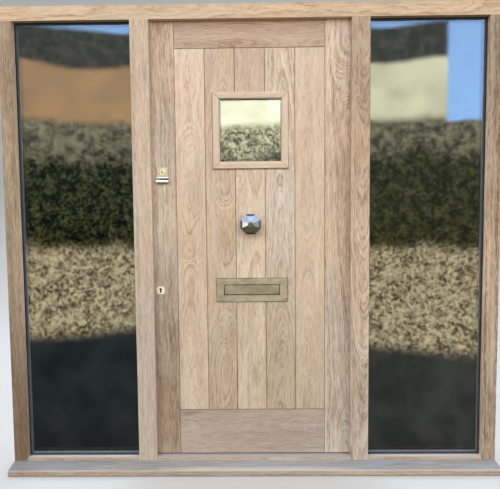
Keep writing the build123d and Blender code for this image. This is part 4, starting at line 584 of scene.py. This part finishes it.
def aged(m, border, inner):
    """Patina on the letter plate: cloudy and flecked paler, with patina and painted shade along its outline and a
    darker lower right corner.
    """
    t = Tree(m.node_tree)
    bsdf = m.node_tree.nodes["Principled BSDF"]
    obj = coords(t)
    x, y, z = t.xyz(obj)
    colour = bsdf.inputs["Base Color"].links[0].from_socket
    haze = t.noise(t.vec(t.math("MULTIPLY", x, 24.0), y, t.math("MULTIPLY", z, 55.0)), 1.0, 4.0, 0.65)
    specks = t.noise(obj, 420.0, 2.0, 0.6)
    colour = t.mix(t.ramp(haze, 0.34, 0.66, 0.0, 0.65), colour, t.mix(1.0, colour, (0.66, 0.65, 0.62, 1), "MULTIPLY"))
    colour = t.mix(t.ramp(specks, 0.42, 0.66, 0.0, 0.35), colour, t.mix(1.0, colour, (1.30, 1.30, 1.28, 1), "MULTIPLY"))
    if border:
        lo, hi = border
        edge = t.math("MINIMUM", t.math("MINIMUM", t.math("SUBTRACT", x, lo[0]), t.math("SUBTRACT", hi[0], x)),
                      t.math("MINIMUM", t.math("SUBTRACT", z, lo[2]), t.math("SUBTRACT", hi[2], z)))
        # patina and painted shade along the outline
        f = t.math("MULTIPLY", t.ramp(edge, 0.0042, 0.0010), t.ramp(haze, 0.3, 0.6, 0.35, inner))
        colour = t.mix(f, colour, t.mix(1.0, colour, (0.42, 0.38, 0.33, 1), "MULTIPLY"))
        corner = t.math("MULTIPLY", t.ramp(x, hi[0] - 0.055, hi[0] - 0.010), t.ramp(z, lo[2] + 0.030, lo[2] + 0.004))
        colour = t.mix(t.math("MULTIPLY", corner, 0.6), colour, t.mix(1.0, colour, (0.55, 0.56, 0.56, 1), "MULTIPLY"))
    t.put(bsdf.inputs["Base Color"], colour)
    return m


pewter = aged(metal("pewter", rgb(196, 187, 165), rgb(157, 148, 127), 0.46, metallic=0.45, scale=40.0, bump=0.35, spots=0.3),
              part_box("letter_plate"), 0.80)
flap_metal = aged(metal("pewter_flap", rgb(184, 173, 149), rgb(138, 128, 106), 0.48, metallic=0.45, brushed="X", scale=40.0, bump=0.3, spots=0.3),
                  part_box("letter_flap"), 0.55)
paint("letter_plate", pewter)
paint("letter_flap", flap_metal)
paint("letter_plate_inner", pewter)
paint("letter_flap_inner", flap_metal)
chrome = metal("chrome", (0.72, 0.73, 0.75, 1), (0.50, 0.52, 0.56, 1), 0.10, scale=30.0, bump=0.03)
paint("centre_knob", chrome)


def worn_pull():
    """Nickel that has dulled on the flat plate and stays bright on the lip, with painted shade along the plate's edges.
    """
    m = metal("nickel_pull", rgb(222, 214, 182), rgb(182, 174, 142), 0.30, metallic=0.5, scale=50.0, bump=0.08)
    t = Tree(m.node_tree)
    bsdf = m.node_tree.nodes["Principled BSDF"]
    x, y, z = t.xyz(coords(t))
    lip = t.ramp(z, 1.3525, 1.3480)
    old = bsdf.inputs["Base Color"].links[0].from_socket
    tarnish = t.noise(coords(t), 260.0, 3.0, 0.6)
    # painted shade along the plate's left, right and top edges, broken up by noise
    rim = t.math("MAXIMUM", t.ramp(t.math("ABSOLUTE", t.math("ADD", x, 0.4005)), 0.0222, 0.0248), t.ramp(z, 1.3925, 1.3952))
    rim = t.math("MULTIPLY", rim, t.ramp(tarnish, 0.3, 0.6, 0.35, 0.85))
    old = t.mix(rim, old, t.mix(1.0, old, (0.45, 0.43, 0.38, 1), "MULTIPLY"))
    t.put(bsdf.inputs["Base Color"], t.mix(lip, old, (0.74, 0.76, 0.76, 1)))
    t.put(bsdf.inputs["Metallic"], t.math("ADD", t.math("MULTIPLY", lip, 0.6), 0.4))
    rough = bsdf.inputs["Roughness"].links[0].from_socket
    t.put(bsdf.inputs["Roughness"], t.math("SUBTRACT", rough, t.math("MULTIPLY", lip, 0.23), clamp=True))
    return m


paint("cylinder_pull", worn_pull())
paint("cylinder_housing", metal("housing", rgb(250, 248, 232), rgb(220, 214, 192), 0.22, metallic=0.35, scale=60.0, bump=0.1))
paint("cylinder_plug", metal("plug", rgb(232, 226, 190), rgb(196, 186, 146), 0.25, metallic=0.6, scale=60.0, bump=0.1))
paint("escutcheons", metal("escutcheon", (1.0, 0.965, 0.84, 1), rgb(244, 234, 208), 0.40, metallic=0.04, brushed="Z", scale=50.0, bump=0.12))
hinge = metal("hinge_steel", rgb(190, 190, 188), rgb(150, 150, 148), 0.36, brushed="Z", scale=40.0, bump=0.2)
for n in ("hinge_frame_leaves", "hinge_door_leaves", "hinge_pins"):
    paint(n, hinge)
screw = metal("screw_steel", rgb(176, 176, 174), rgb(128, 128, 126), 0.35, scale=90.0, bump=0.15)
for n in ("frame_screws", "leaf_screws", "letter_plate_bolts", "knob_bolt"):
    paint(n, screw)
brass = metal("brass", rgb(206, 178, 112), rgb(160, 132, 74), 0.32, scale=60.0, bump=0.15)
for n in ("deadlock_bolt", "night_latch_bolt", "deadlock_keep"):
    paint(n, brass)


def greasy(m):
    """Painted shade round the keyway, where it shows through the keyhole."""
    t = Tree(m.node_tree)
    bsdf = m.node_tree.nodes["Principled BSDF"]
    x, y, z = t.xyz(coords(t))
    old = bsdf.inputs["Base Color"].links[0].from_socket
    f = t.math("MULTIPLY", t.ramp(t.math("ABSOLUTE", t.math("ADD", x, 0.4186)), 0.016, 0.010), t.ramp(t.math("ABSOLUTE", t.math("SUBTRACT", z, 0.8327)), 0.024, 0.016))
    t.put(bsdf.inputs["Base Color"], t.mix(f, old, t.mix(1.0, old, (0.12, 0.09, 0.06, 1), "MULTIPLY")))
    return m


paint("deadlock_case", greasy(metal("zinc", rgb(150, 152, 154), rgb(104, 106, 110), 0.45, scale=60.0, bump=0.25, spots=0.3)))
enamel = metal("enamel", rgb(104, 106, 108), rgb(84, 86, 88), 0.42, metallic=0.25, scale=120.0, bump=0.3)
for n in ("night_latch_case", "night_latch_keep"):
    paint(n, enamel)
turn = metal("turn_metal", rgb(206, 200, 180), rgb(160, 154, 134), 0.28, scale=60.0, bump=0.12)
paint("night_latch_knob", turn)
paint("night_latch_snib", turn)


# ------------------------------------------------------------ softened wood edges
WOOD = ["frame_head", "outer_jamb_left", "outer_jamb_right", "lock_mullion", "hinge_mullion", "sill", "lock_stile", "hinge_stile",
        "top_rail", "bottom_rail", "upper_ledge", "lower_ledge", "board_1", "board_2", "board_3_upper", "board_3_middle",
        "board_3_lower", "board_4", "board_5", "vision_frame_top", "vision_frame_bottom", "vision_frame_left", "vision_frame_right"]
for name in WOOD:
    o = nodes[name]
    w = o.modifiers.new("weld", "WELD")
    w.merge_threshold = 0.00002
    b = o.modifiers.new("arris", "BEVEL")
    b.width = 0.0008
    b.segments = 2
    b.limit_method = "ANGLE"
    b.angle_limit = math.radians(35)
    b.harden_normals = False
    b.use_clamp_overlap = True


# ------------------------------------------------------------------------- stage
def plane(name, verts, faces):
    me = bpy.data.meshes.new(name)
    me.from_pydata(verts, [], faces)
    me.update()
    o = bpy.data.objects.new(name, me)
    bpy.context.scene.collection.objects.link(o)
    return o


# floor that turns up into a backdrop well behind the frame
rows = [(-9.0, 0.0), (3.2, 0.0)]
for k in range(1, 13):
    a = math.radians(90 * k / 12)
    rows.append((3.2 + 1.6 * math.sin(a), 1.6 * (1 - math.cos(a))))
rows.append((4.8, 30.0))
verts = [(x, y, z - 0.0005) for y, z in rows for x in (-90.0, 90.0)]
faces = [(2 * i, 2 * i + 1, 2 * i + 3, 2 * i + 2) for i in range(len(rows) - 1)]
floor = plane("floor", verts, faces)
for p in floor.data.polygons:
    p.use_smooth = True
fm, ft, fb = material("floor")
fo = coords(ft)
ft.put(fb.inputs["Base Color"], ft.mix(ft.noise(fo, 1.3, 3.0, 0.5), (0.60, 0.60, 0.59, 1), (0.66, 0.66, 0.65, 1)))
ft.put(fb.inputs["Roughness"], ft.math("ADD", ft.math("MULTIPLY", ft.noise(fo, 6.0, 2.0, 0.5), 0.2), 0.7))
floor.data.materials.append(fm)

# ------------------------------------------------------------------------- light
# The diffuse light is a plain soft sky. What glass and metal mirror is a set of
# soft bands: open sky, pale and warm walls of the studio, greenery, pale ground
# and dark near ground.
world = bpy.data.worlds.new("world")
bpy.context.scene.world = world
world.use_nodes = True
wt = Tree(world.node_tree)
bg = world.node_tree.nodes["Background"]
way = wt.vmath("NORMALIZE", wt.node("ShaderNodeTexCoord").outputs["Generated"])
wx, wy, wz = wt.xyz(way)
soft_sky = wt.curve(wt.ramp(wz, -1.0, 1.0, smooth=False), [
    (0.0, (0.05, 0.05, 0.045)), (0.46, (0.16, 0.15, 0.14)), (0.52, (0.62, 0.60, 0.58)), (0.62, (0.92, 0.93, 0.95)),
    (0.80, (1.02, 1.06, 1.12)), (1.0, (1.05, 1.12, 1.25))])
flat = wt.math("SQRT", wt.math("ADD", wt.math("MULTIPLY", wx, wx), wt.math("MULTIPLY", wy, wy)))
slope = wt.math("DIVIDE", wz, wt.math("MAXIMUM", flat, 0.02))
side = wt.math("ARCTAN2", wx, wt.math("ABSOLUTE", wy))
leafy = wt.noise(way, 60.0, 6.0, 0.72)
drift = wt.math("MULTIPLY", wt.math("SUBTRACT", wt.noise(way, 7.0, 3.0, 0.55), 0.5), 0.10)
rustle = wt.math("MULTIPLY", wt.math("SUBTRACT", leafy, 0.5), 0.06)
el = wt.math("ADD", slope, wt.math("ADD", drift, rustle))
el_soft = wt.math("ADD", slope, wt.math("MULTIPLY", drift, 0.35))


def light_mix(fac, a, b):
    return wt.mix(fac, a if isinstance(a, bpy.types.NodeSocket) else (*a, 1), b if isinstance(b, bpy.types.NodeSocket) else (*b, 1))


patch = wt.noise(way, 16.0, 4.0, 0.6)
grit = wt.noise(way, 170.0, 4.0, 0.7)
near = light_mix(wt.ramp(patch, 0.3, 0.7), (0.08, 0.11, 0.12), (0.19, 0.22, 0.23))
near = light_mix(wt.ramp(side, 0.05, 0.25), near, light_mix(wt.ramp(patch, 0.3, 0.7), (0.20, 0.21, 0.19), (0.42, 0.42, 0.38)))
sand = light_mix(wt.ramp(wt.math("ADD", wt.math("MULTIPLY", leafy, 0.45), wt.math("MULTIPLY", grit, 0.55)), 0.40, 0.60),
                 (0.45, 0.33, 0.19), (4.6, 3.7, 2.3))
hedge = light_mix(wt.ramp(wt.math("ADD", wt.math("MULTIPLY", leafy, 0.5), wt.math("MULTIPLY", grit, 0.5)), 0.44, 0.62), (0.01, 0.014, 0.0), (0.66, 0.64, 0.22))
hedge = light_mix(wt.ramp(side, 0.0, 0.2, 0.0, 0.22), hedge, (0.55, 0.52, 0.26))
thicket = light_mix(wt.ramp(leafy, 0.35, 0.66), (0.45, 0.40, 0.25), (2.0, 1.75, 1.1))
wall = light_mix(wt.ramp(side, -0.215, -0.19), (3.5, 2.05, 1.03), (6.4, 6.0, 4.2))
small = wt.math("MULTIPLY", wt.ramp(side, -0.14, -0.11), wt.ramp(side, 0.14, 0.11))
wall = light_mix(small, wall, (11.5, 11.2, 8.0))
thicket = light_mix(small, thicket, light_mix(wt.ramp(grit, 0.38, 0.62), (0.9, 0.82, 0.5), (6.0, 5.5, 3.6)))
wall = light_mix(wt.ramp(patch, 0.3, 0.7, 0.0, 0.35), wall, (1.2, 0.9, 0.7))
slate = light_mix(wt.ramp(leafy, 0.3, 0.7), (0.26, 0.24, 0.20), (0.62, 0.56, 0.45))
sky = light_mix(wt.ramp(slope, 0.15, 0.6), (2.5, 4.3, 7.6), (2.0, 2.9, 4.6))
sky = light_mix(wt.ramp(slope, 0.40, 0.95), sky, (0.90, 1.06, 1.30))
sky = light_mix(wt.ramp(wt.math("ABSOLUTE", side), 0.45, 0.60), sky, light_mix(wt.ramp(patch, 0.35, 0.65), (0.55, 0.72, 1.00), (0.95, 1.05, 1.25)))
sky = light_mix(wt.ramp(slope, 1.1, 3.0), sky, (0.17, 0.25, 0.35))
sky = light_mix(wt.ramp(slope, 3.4, 8.0), sky, (0.06, 0.09, 0.11))
mirror = light_mix(wt.ramp(wt.math("ADD", el_soft, wt.ramp(side, 0.05, 0.25, 0.0, 0.035)), -0.24, -0.21), near, sand)
mirror = light_mix(wt.ramp(el, -0.085, -0.055), mirror, hedge)
mirror = light_mix(wt.ramp(el, 0.075, 0.125), mirror, thicket)
mirror = light_mix(wt.ramp(el_soft, 0.152, 0.172), mirror, wall)
mirror = light_mix(wt.ramp(el_soft, 0.255, 0.270), mirror, slate)
clear = wt.math("MULTIPLY", wt.ramp(side, 0.342, 0.354), wt.ramp(el_soft, 0.150, 0.160))
mirror = light_mix(wt.math("MAXIMUM", clear, wt.ramp(el_soft, 0.320, 0.332)), mirror, sky)
# far sides: cream on the left, grey-green on the right
far_l = wt.math("MULTIPLY", wt.ramp(side, -0.55, -0.72), wt.ramp(slope, 0.45, 0.25))
far_r = wt.math("MULTIPLY", wt.ramp(side, 0.75, 0.95), wt.ramp(slope, 0.5, 0.2))
mirror = light_mix(far_l, mirror, light_mix(wt.ramp(slope, -0.4, -0.1), (0.20, 0.19, 0.17), (1.5, 1.35, 1.1)))
rim_side = wt.math("MULTIPLY", wt.ramp(wt.math("ABSOLUTE", side), 1.05, 1.2), wt.ramp(slope, 0.6, 0.3))
mirror = light_mix(far_r, mirror, light_mix(wt.ramp(slope, -0.4, -0.1), (0.16, 0.15, 0.14), (0.52, 0.58, 0.56)))
mirror = light_mix(rim_side, mirror, (0.15, 0.17, 0.20))
# white cloud and a dark gap that only the finger pull mirrors
cloud_w = wt.math("MULTIPLY", wt.math("MULTIPLY", wt.ramp(side, -0.52, -0.40), wt.ramp(side, -0.10, -0.14)), wt.ramp(slope, 0.36, 0.44))
mirror = light_mix(wt.math("MULTIPLY", cloud_w, wt.ramp(slope, 1.7, 1.0)), mirror, (2.6, 2.6, 2.7))
mirror = light_mix(wt.math("MULTIPLY", wt.math("MULTIPLY", wt.ramp(side, -1.3, -1.1), wt.ramp(side, -0.10, -0.14)), wt.ramp(slope, 1.6, 2.4)), mirror, (0.05, 0.075, 0.085))
gap = wt.math("MULTIPLY", wt.math("MULTIPLY", wt.ramp(side, -0.226, -0.215), wt.ramp(side, -0.145, -0.160)), wt.ramp(slope, 0.40, 0.34))
gap = wt.math("MULTIPLY", gap, wt.ramp(slope, 0.13, 0.17))
mirror = light_mix(gap, mirror, (0.05, 0.065, 0.07))
mirror = light_mix(wt.ramp(slope, -0.35, -0.6), mirror, (0.15, 0.125, 0.095))
mirror = light_mix(wt.ramp(slope, -1.3, -2.6), mirror, (0.06, 0.045, 0.03))
lp = wt.node("ShaderNodeLightPath")
# rays that only pass through the panes see the plain studio
reflected = wt.math("MULTIPLY", lp.outputs["Is Glossy Ray"], wt.math("MINIMUM", lp.outputs["Glossy Depth"], 1.0))
wt.put(bg.inputs["Color"], wt.mix(reflected, soft_sky, mirror))
bg.inputs["Strength"].default_value = 1.0


def area(name, loc, target, size, power, colour):
    d = bpy.data.lights.new(name, "AREA")
    d.shape = "RECTANGLE"
    d.size, d.size_y = size
    d.energy = power
    d.color = colour
    o = bpy.data.objects.new(name, d)
    bpy.context.scene.collection.objects.link(o)
    o.location = loc
    o.rotation_mode = "QUATERNION"
    o.rotation_quaternion = (Vector(target) - Vector(loc)).to_track_quat("-Z", "Y")
    o.visible_camera = False
    o.visible_glossy = False
    o.visible_transmission = False
    return o


area("key", (-2.2, -3.6, 3.2), (0.0, 0.0, 1.2), (3.4, 2.2), 70, (1.0, 0.97, 0.92))
area("fill", (3.6, -3.4, 1.8), (0.0, 0.0, 1.0), (2.6, 3.0), 60, (1.0, 0.98, 0.95))
area("inside", (-0.5, 3.6, 3.2), (0.0, 0.0, 1.0), (3.0, 2.0), 60, (1.0, 0.98, 0.95))
# glass and metal mirror the bands above, and undersides stay dim
floor.visible_glossy = False
floor.visible_transmission = False
floor.visible_diffuse = False

# ------------------------------------------------------------------------ camera
PITCH, YAW, ROLL = math.radians(3.848), math.radians(-0.728), math.radians(-0.515)
F_PX = 518.0
cy, sy, cp, sp = math.cos(YAW), math.sin(YAW), math.cos(PITCH), math.sin(PITCH)
fwd = Vector((sy * cp, cy * cp, -sp))
right = Vector((cy, -sy, 0.0))
up_v = right.cross(fwd)
cr, sr = math.cos(ROLL), math.sin(ROLL)
r2 = right * cr + up_v * sr
u2 = -right * sr + up_v * cr
cam_data = bpy.data.cameras.new("camera")
cam = bpy.data.objects.new("camera", cam_data)
bpy.context.scene.collection.objects.link(cam)
cam_data.sensor_fit = "HORIZONTAL"
cam_data.sensor_width = 36.0
cam_data.lens = 36.0 * F_PX / 500.0
cam_data.clip_start, cam_data.clip_end = 0.05, 60.0
m = Matrix((r2, u2, -fwd)).transposed().to_4x4()
m.translation = Vector((0.0230, -2.3283, 1.1993))
cam.matrix_world = m
bpy.context.scene.camera = cam

bpy.context.scene.view_settings.view_transform = "Standard"
bpy.context.scene.view_settings.look = "None"
